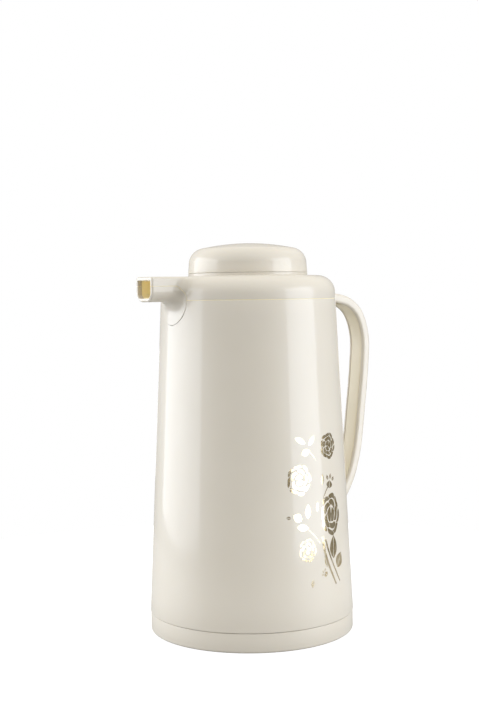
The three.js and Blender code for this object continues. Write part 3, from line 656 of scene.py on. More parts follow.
def bottom_cover():
    """The disc that closes the underside, with grip pockets and moulded rings."""
    radius = high("bottom_cover").x
    plate_top = 3.7
    skirt = radius - 10.1
    skirt_top = 12
    ring_places = (34, 48)
    pocket = 8
    corners = [(0, 0, 0), (24, 0, 0.3), (25, 1, 0.3)]
    for r in ring_places:
        corners += [(r - 0.8, 1, 0.2), (r - 0.4, 0.5, 0.2), (r + 0.4, 0.5, 0.2), (r + 0.8, 1, 0.2)]
    corners += [
        (radius - 1, 1, 0.3),
        (radius, 2, 0.3),
        (radius, plate_top, 0.3),
        (skirt, plate_top, 0.3),
        (skirt, skirt_top, 0.3),
        (skirt - 2.4, skirt_top, 0.3),
        (skirt - 2.4, plate_top, 0.3),
        (0, plate_top, 0),
    ]
    cover = revolve("cover_disc", rounded(corners))
    for start in (-40, 32):
        combine(cover, box_object("cutter", (start, -8, -1), (start + pocket, 8, 2.4)))
    return place(cover, "root", IVORY, "ivory_plastic", "bottom_cover")


def shoulder_ring():
    """The rounded shoulder with the rim, the well, the throat and the spout's way out."""
    round_r = SHOULDER_RADIUS - SHOULDER_ROUND
    round_z = SHOULDER_TOP - SHOULDER_ROUND
    plate_bottom = THROAT_BOTTOM - 2.2
    skirt = THROAT_RADIUS + 3.3
    skirt_bottom = plate_bottom - 8
    spigot_bottom = low("shoulder_ring").z + 21.7
    outline = [
        (SHOULDER_RADIUS - 0.15, SHOULDER_BOTTOM),
        *arc(SHOULDER_RADIUS - 0.15, SHOULDER_BOTTOM + 0.15, 0.15, -90, 0, 4)[1:],
        *arc(round_r, round_z, SHOULDER_ROUND, 0, 90, 24),
        *arc(RIM_RADIUS + 0.5, SHOULDER_TOP + 0.5, 0.5, 270, 180, 4),
        *arc(RIM_RADIUS - 0.15, RIM_TOP - 0.15, 0.15, 0, 90, 4),
        *arc(WELL_RADIUS + 0.6, RIM_TOP - 0.6, 0.6, 90, 180, 4),
        *arc(WELL_RADIUS - 2, WELL_FLOOR + 2, 2, 0, -90, 6),
        *arc(THROAT_RADIUS + 0.8, WELL_FLOOR - 0.8, 0.8, 90, 180, 4),
        (THROAT_RADIUS, THROAT_BOTTOM),
        (THROAT_OPENING, THROAT_BOTTOM),
        (THROAT_OPENING, plate_bottom),
        (skirt, plate_bottom),
        (skirt, skirt_bottom),
        (skirt + 2, skirt_bottom),
        (skirt + 2, THROAT_BOTTOM),
        (THROAT_RADIUS + 2, THROAT_BOTTOM),
        (THROAT_RADIUS + 2, WELL_FLOOR - 2),
        (WELL_RADIUS + 2, WELL_FLOOR - 2),
        (WELL_RADIUS + 2, SHOULDER_TOP - SHOULDER_WALL),
        *arc(round_r, round_z, SHOULDER_ROUND - SHOULDER_WALL, 90, 0, 12),
        (SHOULDER_RADIUS - SHOULDER_WALL, SPIGOT_TOP),
        (SPIGOT_RADIUS - 2, SPIGOT_TOP),
        (SPIGOT_RADIUS - 2, spigot_bottom),
        (SPIGOT_RADIUS, spigot_bottom),
        (SPIGOT_RADIUS, SHOULDER_BOTTOM),
    ]
    shoulder = revolve("shoulder_shell", outline)
    channel_end = -WELL_RADIUS + 3
    combine(shoulder, prism_along_x("cutter", spout_outline(SPOUT_WALL), -SPOUT_REACH - 1, channel_end))
    room = spout_outline(-GAP, top=SPOUT_SPLIT + GAP)
    combine(shoulder, prism_along_x("cutter", room, -SPOUT_REACH - 1, -WELL_RADIUS - 2))
    combine(shoulder, prism_along_x("cutter", boss_room_outline(), OUTSIDE, -SPIGOT_RADIUS + 0.4))
    return place(shoulder, "root", IVORY, "ivory_plastic", "shoulder_ring")


# ---------------- the spout

def line(start, end, steps):
    """Evenly spaced points from a start up to, but not including, an end."""
    return [tuple(a + (b - a) * k / steps for a, b in zip(start, end)) for k in range(steps)]


def resampled(path, count):
    """A path of points in two or three dimensions, spread evenly over a number of points."""
    lengths = [0.0]
    for a, b in zip(path, path[1:]):
        lengths.append(lengths[-1] + math.dist(a, b))
    points = []
    i = 0
    for k in range(count):
        want = lengths[-1] * k / (count - 1)
        while i < len(lengths) - 2 and lengths[i + 1] < want:
            i += 1
        t = (want - lengths[i]) / max(lengths[i + 1] - lengths[i], 1e-9)
        points.append(tuple(a + (b - a) * t for a, b in zip(path[i], path[i + 1])))
    return points


def lower_outline(inset, corner):
    """The trough's section, from the left end of the split round below to its right end."""
    side = SPOUT_HALF_WIDTH - inset
    lowest = SPOUT_BOTTOM + inset
    middle = lowest + corner
    return [
        *line((-side, SPOUT_SPLIT), (-side, middle), 5),
        *arc(corner - side, middle, corner, 180, 270, 18),
        *line((corner - side, lowest), (side - corner, lowest), 6)[1:],
        *arc(side - corner, middle, corner, 270, 360, 18),
        *line((side, SPOUT_SPLIT), (side, middle), 5)[::-1],
    ]


def upper_outline(inset, corner):
    """The roof's section, from the lower right corner over the top to the lower left corner."""
    side = SPOUT_HALF_WIDTH - inset
    highest = SPOUT_TOP - inset
    top_corner = max(SPOUT_TOP_ROUND - inset, 0.6)
    middle = SPOUT_BOTTOM + inset + corner
    return [
        *arc(side - corner, middle, corner, -40, 0, 6),
        *line((side, middle), (side, highest - top_corner), 10)[1:],
        *arc(side - top_corner, highest - top_corner, top_corner, 0, 90, 10),
        *line((side - top_corner, highest), (top_corner - side, highest), 12)[1:],
        *arc(top_corner - side, highest - top_corner, top_corner, 90, 180, 10),
        *line((-side, highest - top_corner), (-side, middle), 10)[1:],
        *arc(corner - side, middle, corner, 180, 220, 6),
    ]


def outline_normals(points):
    """The outward normals of an open outline that runs anticlockwise in (y, z)."""
    normals = []
    for i in range(len(points)):
        before = points[max(i - 1, 0)]
        after = points[min(i + 1, len(points) - 1)]
        dy, dz = after[0] - before[0], after[1] - before[1]
        length = math.hypot(dy, dz)
        normals.append((dz / length, -dy / length))
    return normals


def room_to_boss_edge(point, normal):
    """The distance from a point of the spout's section, along its normal, to the boss's edge."""
    y, z = point[0], point[1] - BOSS_Z
    along = y * normal[0] + z * normal[1]
    return -along + math.sqrt(along ** 2 - (y * y + z * z) + BOSS_RADIUS ** 2)


def fillet_radius(point, normal):
    """The fillet between the spout and the body: wide at the sides and below, none on top."""
    if normal[1] > 0:
        return SPOUT_FILLET * abs(normal[0])
    below = min(SPOUT_LOWER_FILLET, 0.97 * room_to_boss_edge(point, normal))
    t = min(-normal[1] / 0.5, 1)
    blend = t * t * (3 - 2 * t)
    return SPOUT_FILLET * (1 - blend) + below * blend


def flare(distance, radius):
    """How far a fillet of this radius stands out at a distance from the surface that it runs into."""
    if distance >= radius:
        return 0.0
    return radius - math.sqrt(radius ** 2 - (radius - distance) ** 2)


def root_path(point, normal):
    """The fillet from the spout's side down onto the body."""
    y, z = point
    radius = fillet_radius(point, normal)
    if normal[1] > 0:
        normal = (math.copysign(1, normal[0]), 0)
    path = []
    for k in range(ROOT_STEPS + 1):
        distance = radius * (1 - math.sin(math.radians(90 * k / ROOT_STEPS)))
        grown = flare(distance, radius)
        py, pz = y + normal[0] * grown, z + normal[1] * grown
        path.append((body_x(py, pz) - distance, py, pz))
    return path


def boss_path(start, normal):
    """On over the body's surface, rising slightly, to beyond the boss's edge."""
    reach = 20
    path = []
    for k in range(1, ROOT_STEPS + 1):
        far = reach * k / ROOT_STEPS
        y, z = start[1] + normal[0] * far, start[2] + normal[1] * far
        proud = BOSS_PROUD * min(1, far / 2)
        path.append((body_x(y, z, proud), y, z))
    return path


def up_to_boss_edge(path):
    """The part of a path inside the boss's circle, ending exactly on it."""
    kept = [path[0]]
    for here, there in zip(path, path[1:]):
        if math.hypot(there[1], there[2] - BOSS_Z) <= BOSS_RADIUS:
            kept.append(there)
            continue
        near, far = 0.0, 1.0
        for _ in range(30):
            t = (near + far) / 2
            point = tuple(a + (b - a) * t for a, b in zip(here, there))
            inside = math.hypot(point[1], point[2] - BOSS_Z) <= BOSS_RADIUS
            near, far = (t, far) if inside else (near, t)
        kept.append(point)
        break
    return kept


def channel_and_lip(outer, wall, mouth, inner_end):
    """From the channel's inner end out to the mouth and round the lip to the outside."""
    ledge = -SPOUT_REACH + MOUTH_DEPTH
    points = [(*x, *wall) for x in line((inner_end,), (ledge + 0.2,), 12)]
    points.append((ledge + 0.2, *wall))
    points.append((ledge, *mouth))
    across = Vector(mouth) - Vector(outer)
    width = across.length
    across.normalize()
    for inset, depth in ((width, 0.5), (width - 0.15, 0.15), (width - 0.5, 0)):
        place_on = Vector(outer) + across * inset
        points.append((-SPOUT_REACH + depth, *place_on))
    for k in range(9):
        angle = math.radians(90 * k / 8)
        place_on = Vector(outer) + across * MOUTH_EDGE_ROUND * (1 - math.sin(angle))
        points.append((-SPOUT_REACH + MOUTH_EDGE_ROUND * (1 - math.cos(angle)), *place_on))
    return points


def spout_rows(outline, inner_end, root, tail):
    """Rows of points, one for each point of the spout's section, each a closed loop."""
    outer = outline(0, SPOUT_BOTTOM_ROUND)
    wall = outline(SPOUT_WALL, SPOUT_BOTTOM_ROUND - SPOUT_WALL)
    mouth = outline(MOUTH_WALL, MOUTH_INNER_ROUND)
    rows = []
    for i, (point, normal) in enumerate(zip(outer, outline_normals(outer))):
        front = channel_and_lip(point, wall[i], mouth[i], inner_end)
        foot = root(point, normal)
        straight = line(front[-1], foot[0], 14)[1:]
        rows.append(front + straight + foot + tail(point, foot[-1]))
    return rows


def lower_spout():
    """The spout's trough with the round boss that lies in the case's notch."""
    depth = CASE_WALL - 0.3

    def root(point, normal):
        fillet = root_path(point, normal)
        return resampled(up_to_boss_edge(fillet + boss_path(fillet[-1], normal)), ROOT_STEPS)

    def tail(point, edge):
        _, y, z = edge
        return [
            (body_x(y, z, -0.5), y, z),
            (body_x(y, z, -depth), y, z),
            (body_x(*point, -depth), *point),
            (SPOUT_INNER_END, *point),
        ]

    trough = grid_object("spout_trough_shell", spout_rows(lower_outline, SPOUT_INNER_END, root, tail))
    return place(trough, "root", IVORY, "ivory_plastic", "spout_trough")


def boss_room_outline():
    """The circle that leaves room for the boss, cut off flat above the split, as (y, z) points."""
    circle = arc(0, BOSS_Z, BOSS_RADIUS + GAP, 0, 358, 179)
    return list(dict.fromkeys((y, min(z, SPOUT_SPLIT + GAP)) for y, z in circle))


def upper_spout():
    """The spout's roof, which belongs to the shoulder ring and blends into it."""
    inner_end = -WELL_RADIUS - 1

    def tail(point, edge):
        _, y, z = edge
        sunk = min(point[1], SPOUT_TOP - 0.3)
        return [
            (body_x(y, z, -0.6), y, z),
            (body_x(point[0], sunk, -1.5), point[0], sunk),
            (inner_end, point[0], sunk),
        ]

    roof = grid_object("spout_roof", spout_rows(upper_outline, inner_end, root_path, tail))
    combine(roof, prism_along_x("cutter", boss_room_outline(), OUTSIDE, inner_end + 8))
    return place(roof, "root", IVORY, "ivory_plastic")


def spout_lining():
    """The amber sleeve inside the spout's channel."""
    start = -SPOUT_REACH + MOUTH_DEPTH + 0.3
    end = -WELL_RADIUS - 0.5
    outer = spout_outline(SPOUT_WALL + 0.1)
    inner = spout_outline(SPOUT_WALL + 0.9, corner=MOUTH_INNER_ROUND)
    sections = ((start, outer), (end, outer), (end, inner), (start, inner), (start, outer))
    rows = [[(x, *point) for point in outline] for x, outline in sections]
    lining = grid_object("spout_sleeve", rows, capped=False)
    return place(lining, "root", LINING_AND_SEAM_SHADE, "amber_plastic", "spout_lining")


def collar_seam_shade():
    """The amber strip in the seam between the case and the shoulder, which paints the seam's warm shade."""
    radius = SHOULDER_RADIUS - SEAM_DEPTH
    bottom = CASE_TOP - SEAM_OVERLAP
    top = SHOULDER_BOTTOM + SEAM_OVERLAP
    inner = radius - 1
    collar = revolve("collar_seam_shade", [(inner, bottom), (radius, bottom), (radius, top), (inner, top)])
    cut_boss_notch(collar)
    place(collar, "root", LINING_AND_SEAM_SHADE, "amber_plastic", "seam_strip_front", "seam_strip_back")


def spout_seam_shades():
    """The amber strips along the spout's split and on down the upper edge of the boss, which paint the
    seams' warm shade.
    """
    steps = 24
    turning_steps = 8         # over which the line turns from the spout's side onto the boss's edge
    last_angle = 1.5
    first_angle = math.degrees(math.asin((SPOUT_SPLIT - BOSS_Z) / BOSS_RADIUS))
    middle_radius = BOSS_RADIUS + GAP / 2
    mouth_x = -SPOUT_REACH + MOUTH_EDGE_ROUND
    root_x = up_to_boss_edge(root_path((SPOUT_HALF_WIDTH, SPOUT_SPLIT), (1, 0)))[-1][0]
    for sign, name in ((-1, "spout_seam_shade_left"), (1, "spout_seam_shade_right")):
        rows = []
        for x in (mouth_x, root_x):
            centre = (x, sign * SPOUT_HALF_WIDTH, SPOUT_SPLIT + GAP / 2)
            rows.append(seam_shade_section(centre, (0, -sign, 0), (0, 0, 1)))
        for k in range(1, steps + 1):
            angle = math.radians(first_angle * (1 - k / steps) + last_angle * k / steps)
            radial = (0, sign * math.cos(angle), math.sin(angle))
            y, z = radial[1] * middle_radius, BOSS_Z + radial[2] * middle_radius
            turn = min(1, k / turning_steps)
            inward = Vector((turn, -sign * (1 - turn), 0)).normalized()
            rows.append(seam_shade_section((fillet_x(abs(y), z), y, z), inward, radial))
        place(grid_object(name, rows), "root", LINING_AND_SEAM_SHADE, "amber_plastic")


def fillet_x(y, z):
    """Where the spout's side fillet lies at y and z beside the boss."""
    centre = SPOUT_BOTTOM + SPOUT_BOTTOM_ROUND
    if z >= centre:
        point, normal = (SPOUT_HALF_WIDTH, z), (1, 0)
        path = root_path(point, normal)
        grown = [p[1] for p in path]
        reach = y
    else:
        corner = (SPOUT_HALF_WIDTH - SPOUT_BOTTOM_ROUND, centre)
        away = Vector((y - corner[0], z - corner[1]))
        normal = tuple(away.normalized())
        point = (corner[0] + normal[0] * SPOUT_BOTTOM_ROUND, corner[1] + normal[1] * SPOUT_BOTTOM_ROUND)
        path = root_path(point, normal)
        grown = [math.dist(corner, p[1:]) for p in path]
        reach = away.length
    for i in range(1, len(path)):
        if grown[i] >= reach:
            t = (reach - grown[i - 1]) / max(grown[i] - grown[i - 1], 1e-9)
            return path[i - 1][0] + (path[i][0] - path[i - 1][0]) * t
    return body_x(y, z)


def seam_shade_section(centre, inward, across):
    """The section of a seam's painted-shade strip: a small block just below the surface."""
    centre, inward, across = Vector(centre), Vector(inward), Vector(across)
    half = GAP / 2 + 0.05
    near, far = SEAM_DEPTH, SEAM_DEPTH + 0.8
    return [tuple(centre + inward * depth + across * side)
            for depth, side in ((near, -half), (near, half), (far, half), (far, -half))]


# ---------------- the handle

HANDLE_OUTER_EDGE = [
    (56, 237.2), (72, 236.9), (86.5, 232.8), (97.2, 222.6), (102.93, 204.6),
    (102.2, 181), (98.8, 151), (94.2, 118.5), (85.2, 93), (64.4, 63.5),
]
HANDLE_WIDTH = 17.5
HANDLE_THICKNESS = 7
HANDLE_COVER_WIDTH = 11.9
HANDLE_COVER_START = 0.121    # how far along the handle the strip begins, and before its end it stops


def catmull(points, t):
    """A point of the uniform Catmull-Rom curve through the points, t from 0 to 1."""
    place_on = t * (len(points) - 1)
    i = min(int(place_on), len(points) - 2)
    w = place_on - i
    p0 = Vector(points[max(i - 1, 0)])
    p1, p2 = Vector(points[i]), Vector(points[i + 1])
    p3 = Vector(points[min(i + 2, len(points) - 1)])
    v0, v1 = (p2 - p0) / 2, (p3 - p1) / 2
    cubic = 2 * p1 - 2 * p2 + v0 + v1
    square = -3 * p1 + 3 * p2 - 2 * v0 - v1
    return cubic * w ** 3 + square * w ** 2 + v0 * w + p1


def handle_frames(steps, start, end):
    """Points of the handle's outer edge with the directions that point inwards."""
    cuts = 600
    fine = [catmull(HANDLE_OUTER_EDGE, k / cuts) for k in range(cuts + 1)]
    lengths = [0]
    for a, b in zip(fine, fine[1:]):
        lengths.append(lengths[-1] + (b - a).length)
    frames = []
    for k in range(steps + 1):
        want = lengths[-1] * (start + (end - start) * k / steps)
        reached = next((j for j, done in enumerate(lengths) if done >= want), cuts)
        i = max(min(reached, cuts - 1), 1)
        tangent = (fine[i + 1] - fine[i - 1]).normalized()
        frames.append((fine[i], Vector((tangent.y, -tangent.x))))
    return frames


def sweep(name, section, start, end, steps=110):
    """A bar along the handle from a section of (across, depth) points."""
    rows = []
    for point, inward in handle_frames(steps, start, end):
        rows.append([
            (point.x + inward.x * depth, across, point.y + inward.y * depth) for across, depth in section])
    return grid_object(name, rows)


def strap_section():
    """The strap's section: crowned outside, rounded edges, and a shallow recess for the inner strip."""
    half = HANDLE_WIDTH / 2
    recess = HANDLE_COVER_WIDTH / 2 + GAP
    thick = HANDLE_THICKNESS
    crown = 0.5
    outer = 2.6               # the rounding of the outer edges
    inner = 1.8               # and of the inner ones
    section = []
    for k in range(13):
        across = -half + outer + (HANDLE_WIDTH - 2 * outer) * k / 12
        section.append((across, crown * (across / half) ** 2))
    section += arc(half - outer, outer + crown / 2, outer, -80, 0, 7)
    section += arc(half - inner, thick - inner, inner, 0, 90, 7)
    section += [(recess + 0.3, thick), (recess, thick - 0.3), (recess, thick - 2)]
    section += [(-recess, thick - 2), (-recess, thick - 0.3), (-recess - 0.3, thick)]
    section += arc(inner - half, thick - inner, inner, 90, 180, 7)
    section += arc(outer - half, outer + crown / 2, outer, 180, 260, 7)
    return section


def handle_shell():
    """The strap, trimmed where it meets the case and the shoulder."""
    strap = sweep("handle_strap", strap_section(), 0, 1)
    round_r = SHOULDER_RADIUS - SHOULDER_ROUND
    round_z = SHOULDER_TOP - SHOULDER_ROUND
    trim = revolve("cutter", [
        (0, CASE_BOTTOM),
        (CASE_BOTTOM_RADIUS - 0.4, CASE_BOTTOM),
        (CASE_TOP_RADIUS - 0.4, CASE_TOP),
        *arc(round_r, round_z, SHOULDER_ROUND - 0.2, 0, 90, 12),
        (0, SHOULDER_TOP),
    ])
    combine(strap, trim)
    return place(strap, "root", IVORY, "ivory_plastic", "handle_shell")


def handle_cover():
    """The strip on the handle's inner face."""
    half = HANDLE_COVER_WIDTH / 2
    bottom = HANDLE_THICKNESS - 1.8
    top = HANDLE_THICKNESS - 0.1
    section = rounded([(-half, bottom, 0), (half, bottom, 0), (half, top, 0.5), (-half, top, 0.5)])
    strip = sweep("handle_strip", section, HANDLE_COVER_START, 1 - HANDLE_COVER_START)
    return place(strip, "root", BEIGE, "beige_plastic", "handle_inner_cover")


# ---------------- the knob and the stopper

def cap_outline(inset):
    """The cap's profile from its lower edge to its crown."""
    centre_r = CAP_SHOULDER_RADIUS - CAP_ROUND
    dome_centre = CAP_TOP - CAP_DOME_RADIUS
    meeting = math.degrees(math.atan2(CAP_SHOULDER - dome_centre, centre_r))
    return [
        *arc(centre_r, CAP_SHOULDER, CAP_ROUND - inset, 0, meeting, 22),
        *arc(0, dome_centre, CAP_DOME_RADIUS - inset, meeting, 90, 14)[1:-1],
        (0, CAP_TOP - inset),
    ]


def knob_cap():
    """The domed cap."""
    edge = 0.2
    outline = [
        *arc(CAP_RADIUS - edge, CAP_BOTTOM + edge, edge, -90, 0, 5),
        *cap_outline(0),
        *reversed(cap_outline(CAP_WALL)),
        (CAP_RADIUS - CAP_WALL, CAP_BOTTOM),
    ]
    cap = revolve("cap_dome", outline, longest=4)
    return place(cap, "knob", IVORY, "ivory_plastic", "knob_cap")


def knob_hub():
    """The plate under the cap with its bearing ring and the sleeve that turns in the housing."""
    low_z = low("knob_hub").z
    top = high("knob_hub").z
    plate = top - 2
    radius = high("knob_hub").x
    ring_out = 21.5
    ring_in = 19
    ring_bottom = 249.8
    sleeve_out = 9
    sleeve_in = 6.2
    hub = revolve("hub", rounded([
        (0, top, 0),
        (radius, top, 0.3),
        (radius, plate, 0.3),
        (ring_out, plate, 0.4),
        (ring_out, ring_bottom, 0.3),
        (ring_in, ring_bottom, 0.3),
        (ring_in, plate, 0.4),
        (sleeve_out, plate, 0.4),
        (sleeve_out, low_z, 0.4),
        (sleeve_in, low_z, 0.4),
        (sleeve_in, plate, 0),
        (0, plate, 0),
    ]), segments=120)
    return place(hub, "knob", INNER, "inner_plastic", "knob_hub")


def thread(radius, crest, bottom, pitch, turns):
    """A rounded helical ridge that fades out at both ends."""
    per_turn = 72
    steps = int(per_turn * turns)
    rows = []
    for i in range(steps + 1):
        angle = 2 * math.pi * i / per_turn
        z = bottom + pitch * i / per_turn
        fade = min(1, i / 12, (steps - i) / 12)
        inner = radius - 0.4
        outer = inner + (crest + 0.4) * fade
        section = [(inner, z - 1.1), (outer, z - 0.35), (outer, z + 0.35), (inner, z + 1.1)]
        rows.append([(r * math.cos(angle), r * math.sin(angle), height) for r, height in section])
    return grid_object("cutter", rows)


def stopper_housing():
    """The threaded housing with its windows and guide."""
    bottom = low("stopper_housing").z
    top = high("stopper_housing").z
    flange = high("stopper_housing").x
    groove = flange - 2.1
    radius = 23.6
    bore = radius - 2.2
    opening = 13
    hub_room = 9.3
    guide_room = 6.3
    guide_bottom = 230
    guide_top = 234
    housing = revolve("housing", rounded([
        (opening, bottom, 0.5),
        (radius, bottom, 0.6),
        (radius, top - 3, 0.6),
        (flange, top - 3, 0.3),
        (flange, top - 2.4, 0.1),
        (groove, top - 2.4, 0),
        (groove, top - 0.6, 0),
        (flange, top - 0.6, 0.1),
        (flange, top, 0.2),
        (hub_room, top, 0.3),
        (hub_room, top - 3, 0.3),
        (bore, top - 3, 0.5),
        (bore, bottom + 2, 0.5),
        (opening, bottom + 2, 0.3),
    ]), segments=144)
    combine(housing, thread(radius, crest=0.5, bottom=221, pitch=4, turns=2.25), "UNION")
    combine_round(housing, (radius - 6, -8, 236), (radius + 2, 8, 245), (0, 90, 180, 270))
    ribs = ((8.5, -1, guide_bottom), (bore + 0.5, 1, guide_top))
    combine_round(housing, *ribs, (45, 135, 225, 315), "UNION")
    guide = revolve("guide", [
        (guide_room, guide_bottom), (9.5, guide_bottom), (9.5, guide_top), (guide_room, guide_top),
    ], segments=72)
    combine(housing, guide, "UNION")
    combine(housing, box_object("cutter", (0, -1.3, guide_bottom - 1), (7.6, 1.3, guide_top + 1)))
    return place(housing, "stopper", AMBER, "amber_plastic", "stopper_housing")


def seal_ring(name, node, body, inner, rounding=0.5):
    """A rubber ring that fills a CAD ring's box from its inner radius outwards."""
    bottom, top, outer = low(node).z, high(node).z, high(node).x
    ring = revolve(name, rounded([
        (inner, bottom, rounding), (outer, bottom, rounding), (outer, top, rounding), (inner, top, rounding),
    ]), segments=144)
    return place(ring, body, SILICONE, "silicone", node)


# ---------------- the liner

def glass_liner():
    """The double-walled bottle with its lip and its pip."""
    glass = 1.4
    outer_r = high("glass_liner").y
    inner_r = 48
    neck_out = 24.5
    neck_in = 19.5
    straight_bottom = 50
    straight_top = 180
    inner_dish = 20           # the depth of the bottom's curve
    outer_dish = 28
    inner_dome = 16.5         # the height of the shoulder's curve
    outer_dome = 22
    pip_out = 3
    pip_in = 1.6
    pip_top = straight_bottom - outer_dish + 0.2
    pip_bottom = low("glass_liner").z
    lip_round = (neck_out - neck_in) / 2
    lip_bottom = high("glass_liner").z - lip_round
    outline = [
        (0, straight_bottom - inner_dish),
        *arc(0, straight_bottom, inner_r, -86, 0, 20, inner_dish),
        *arc(neck_in, straight_top, inner_r - neck_in, 0, 90, 16, inner_dome),
        *arc((neck_out + neck_in) / 2, lip_bottom, lip_round, 180, 0, 12),
        *arc(neck_out, straight_top, outer_r - neck_out, 90, 0, 16, outer_dome),
        *arc(0, straight_bottom, outer_r, 0, -85, 20, outer_dish),
        (pip_out, pip_top),
        (pip_out, pip_bottom),
        (pip_in, pip_bottom),
        (pip_in, pip_top + glass),
        *arc(0, straight_bottom, outer_r - glass, -85, 0, 20, outer_dish - glass),
        *arc(neck_out - glass, straight_top, outer_r - neck_out, 0, 90, 16, outer_dome - glass),
        (neck_out - glass, lip_bottom),
        (neck_in + glass, lip_bottom),
        *arc(neck_in + glass, straight_top, inner_r - neck_in, 90, 0, 16, inner_dome + glass),
        *arc(0, straight_bottom, inner_r + glass, 0, -86, 20, inner_dish + glass),
        (0, straight_bottom - inner_dish - glass),
    ]
    liner = revolve("silvered_liner", outline, segments=144)
    return place(liner, "root", SILVERED_GLASS, "silvered_glass", "glass_liner")


# ---------------- the decoration

FOIL_PROUD = 0.06
FOIL_DEPTH = 0.08


def on_case(across, up, centre_azimuth, centre_z, offset):
    """A point of the decoration, given in millimetres across and up from a centre on the case's surface."""
    z = centre_z + up
    r = case_radius(z)
    angle = math.radians(centre_azimuth) + across / r
    return ((r + offset) * math.cos(angle), (r + offset) * math.sin(angle), z)


class Foil:
    """A set of thin foil islands on the case, gathered into one piece."""

    def __init__(self):
        self.vertices = []
        self.faces = []

    def island(self, left, right, azimuth, z, across_steps):
        """An island between two edges, each a list of (across, up) points of the same length."""
        start = len(self.vertices)
        columns = across_steps + 1
        count = len(left)
        for offset in (FOIL_PROUD, -FOIL_DEPTH):
            for (ax, ay), (bx, by) in zip(left, right):
                for k in range(columns):
                    t = k / across_steps
                    self.vertices.append(on_case(ax + (bx - ax) * t, ay + (by - ay) * t, azimuth, z, offset))
        layer = count * columns
        for i in range(count - 1):
            for k in range(across_steps):
                a = start + i * columns + k
                top = (a, a + 1, a + columns + 1, a + columns)
                self.faces.append(top)
                self.faces.append(tuple(v + layer for v in reversed(top)))
        border = [start + k for k in range(columns)]
        border += [start + i * columns + across_steps for i in range(1, count)]
        border += [start + (count - 1) * columns + k for k in range(across_steps - 1, -1, -1)]
        border += [start + i * columns for i in range(count - 2, 0, -1)]
        for a, b in zip(border, border[1:] + border[:1]):
            self.faces.append((a, a + layer, b + layer, b))

    def piece(self, name):
        """The finished piece."""
        obj = mesh_object(name, self.vertices, self.faces, smooth_angle=50)
        return place(obj, "root", FOIL, "steel")


LEAF_RIB = 0.22               # half the width of the bare midrib
LEAF_TAPER = 0.25
PETAL_CROWDING = 0.8          # below 1, the outer rings of petals are narrower than the inner ones
PETAL_SCATTER = 0.06          # how far a petal strays, as a part of its share of the ring
PETAL_LEAN = 0.22             # how far its outer edge is turned on, as a part of the same
PETAL_ROUNDING = 0.07
PETAL_WAVES = 5
PETAL_WAVE_HEIGHT = 0.05
SEPAL_FAN = 38                # degrees between a bud's sepals


def leaf(foil, azimuth, z, length, width, lean):
    """A leaf of two halves with a bare midrib; lean turns it from upright, in degrees."""
    turn = math.radians(lean)
    for side in (-1, 1):
        middle, edge = [], []
        for k in range(13):
            t = k / 12
            along = length * (t - 0.5)
            swell = width / 2 * math.sin(math.pi * t) ** 0.8 * (1 - LEAF_TAPER * t)
            near = side * min(LEAF_RIB, swell * 0.5)
            far = side * max(swell, LEAF_RIB * 0.6)
            for points, across in ((middle, near), (edge, far)):
                points.append((across * math.cos(turn) + along * math.sin(turn),
                               along * math.cos(turn) - across * math.sin(turn)))
        foil.island(middle, edge, azimuth, z, 3)


def stem(foil, azimuth, z, points, thick, thin):
    """A tapering stem along a curve through points (across, up)."""
    left, right = [], []
    for k in range(25):
        t = k / 24
        here = catmull(points, t)
        ahead = catmull(points, min(t + 0.02, 1)) - catmull(points, max(t - 0.02, 0))
        side = Vector((-ahead.y, ahead.x)).normalized() * (thick + (thin - thick) * t) / 2
        left.append(tuple(here + side))
        right.append(tuple(here - side))
    foil.island(left, right, azimuth, z, 2)


def petal_edge(radius, half_size, start, span, ring_number, rounding=0.0):
    """One edge of a petal: part of a slightly wavy ellipse, drawn in at both ends by the rounding."""
    points = []
    for k in range(17):
        t = k / 16
        flank = (2 * abs(t - 0.5)) ** 6
        way = math.radians(start + span * t)
        wave = 1 + PETAL_WAVE_HEIGHT * math.sin(way * PETAL_WAVES + ring_number)
        reach = radius * (1 - rounding * flank) * wave
        points.append((reach * half_size[0] * math.cos(way), reach * half_size[1] * math.sin(way)))
    return points


def rose(foil, azimuth, z, width, height, petals, seed, gap):
    """A round flower head: rings of petals, all separate islands; petals counts them outwards."""
    random.seed(seed)
    half_size = (width / 2, height / 2)
    bare = gap / half_size[0]
    smallest_ring = 0.14
    rings = len(petals)
    for ring_number, count in enumerate(petals):
        inner = (ring_number / rings) ** PETAL_CROWDING
        outer = ((ring_number + 1) / rings) ** PETAL_CROWDING - bare
        share = 360 / count
        span = share - math.degrees(bare / max((inner + outer) / 2, smallest_ring))
        first = random.uniform(0, 360)
        for petal in range(count):
            start = first + share * (petal + random.uniform(-PETAL_SCATTER, PETAL_SCATTER))
            near = petal_edge(inner, half_size, start, span, ring_number)
            far = petal_edge(
                outer, half_size, start + PETAL_LEAN * share, span, ring_number, PETAL_ROUNDING)
            foil.island(near, far, azimuth, z, 3)


def bud(foil, azimuth, z, size, lean):
    """A closed bud with three sepals that fan out above it."""
    leaf(foil, azimuth, z, size * 0.9, size * 1.3, lean)
    for tilt in (-SEPAL_FAN, 0, SEPAL_FAN):
        way = math.radians(lean + tilt)
        far = size * 0.95
        across, up = far * math.sin(way), far * math.cos(way)
        turned = azimuth + math.degrees(across / case_radius(z))
        leaf(foil, turned, z + up, size * 0.65, size * 0.42, lean + tilt)


# Every place below is an azimuth in degrees and a height.

ROSES = {                     # width, height, petals in each ring, seed, gap between petals
    "foil_rose_top": (-70, 133.5, 17.5, 18.5, (3, 7, 10), 11, 0.42),
    "foil_rose_left": (-94, 113, 20.5, 22.5, (2, 5, 8), 23, 0.95),
    "foil_rose_great": (-70.5, 87, 22.5, 30, (2, 5, 8), 38, 0.62),
    "foil_rose_low": (-90, 65.5, 15.5, 17.5, (2, 5, 7), 41, 0.85),
}

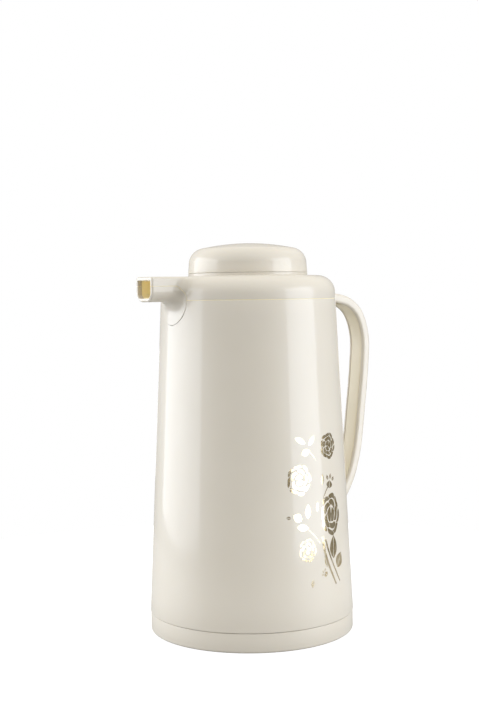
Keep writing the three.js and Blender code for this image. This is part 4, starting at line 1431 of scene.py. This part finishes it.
LEAVES = [                    # length, width, lean
    (-92.5, 139, 9, 4.4, 118),
    (-84.5, 138.5, 8, 4, 38),
    (-89, 131, 7.5, 5.4, 75),
    (-89, 91.5, 9.5, 5.4, 4),
    (-96, 88, 7.5, 6.6, -60),
    (-92.7, 81, 9.5, 5.4, 100),
    (-101.6, 88.5, 3.4, 2.4, -80),
    (-69.5, 64.5, 15.5, 9.5, 4),
    (-64, 54.5, 11, 10, 32),
    (-76.8, 56, 9, 3.2, -16),
    (-87.5, 43, 5.4, 3, 10),
    (-76.8, 111.5, 7.5, 3.2, 4),
    (-82, 94, 7, 2.4, 6),
]

BUDS = [                      # size, lean
    (-70.5, 107.3, 5.8, 14),
    (-77.5, 47.5, 3.4, -50),
]

STEMS = [                     # points across and up from the place, thickness at the start and at the end
    (-77, 70, [(0.5, 1), (4, -9), (9, -19), (15.5, -30)], 1.6, 0.8),
    (-77, 70, [(-2.2, 3), (-0.4, -8), (4, -19), (10.5, -31)], 2.6, 1.2),
    (-76, 104, [(4.6, 2), (1.5, -1.5), (-2, -7)], 0.8, 0.4),
    (-86, 79, [(-3.5, 0), (2, -5), (6, -10)], 0.6, 0.35),
    (-84, 128, [(-2.5, 3), (0.5, 0), (2.6, -3)], 0.55, 0.3),
]


def decoration():
    """A generic spray of roses in gold foil, beside the handle."""
    for name, measures in ROSES.items():
        flower = Foil()
        rose(flower, *measures)
        flower.piece(name)
    groups = (("foil_leaves", leaf, LEAVES), ("foil_buds", bud, BUDS), ("foil_stems", stem, STEMS))
    for name, draw, places in groups:
        foil = Foil()
        for measures in places:
            draw(foil, *measures)
        foil.piece(name)


# ---------------- put together

outer_case()
foot_ring()
bottom_cover()
shoulder_ring()
upper_spout()
lower_spout()
spout_lining()
collar_seam_shade()
spout_seam_shades()
handle_shell()
handle_cover()
knob_cap()
knob_hub()
stopper_housing()
seal_ring("stopper_seal", "stopper_gasket", "stopper", 20.8)
seal_ring("well_seal_ring", "well_seal", "stopper", 34.9, 0.45)
glass_liner()
decoration()

KEPT_NODES = {
    INNER: ["liner_support", "valve_stem", "valve_disc"],
    SILICONE: ["spout_gasket", "neck_gasket", "liner_cushion", "bottom_gasket", "stem_oring", "valve_seal"],
    STEEL: ["handle_top_screw", "handle_bottom_screw", "knob_screw_1", "knob_screw_2", "knob_screw_3",
            "retaining_clip", "valve_screw"],
    FOAM: ["cap_insulation"],
}


def finish_kept_nodes():
    """Gives the CAD nodes that stay in view their materials, softened edges and smooth shading."""
    for material, names in KEPT_NODES.items():
        for name in names:
            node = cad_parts[name]
            node.data.materials.clear()
            node.data.materials.append(material)
            shade(node.data, 40)
            soften = node.modifiers.new("soft_edges", "BEVEL")
            soften.width = 0.15 * MM
            soften.segments = 2
            soften.limit_method = "ANGLE"
            soften.angle_limit = math.radians(50)


finish_kept_nodes()
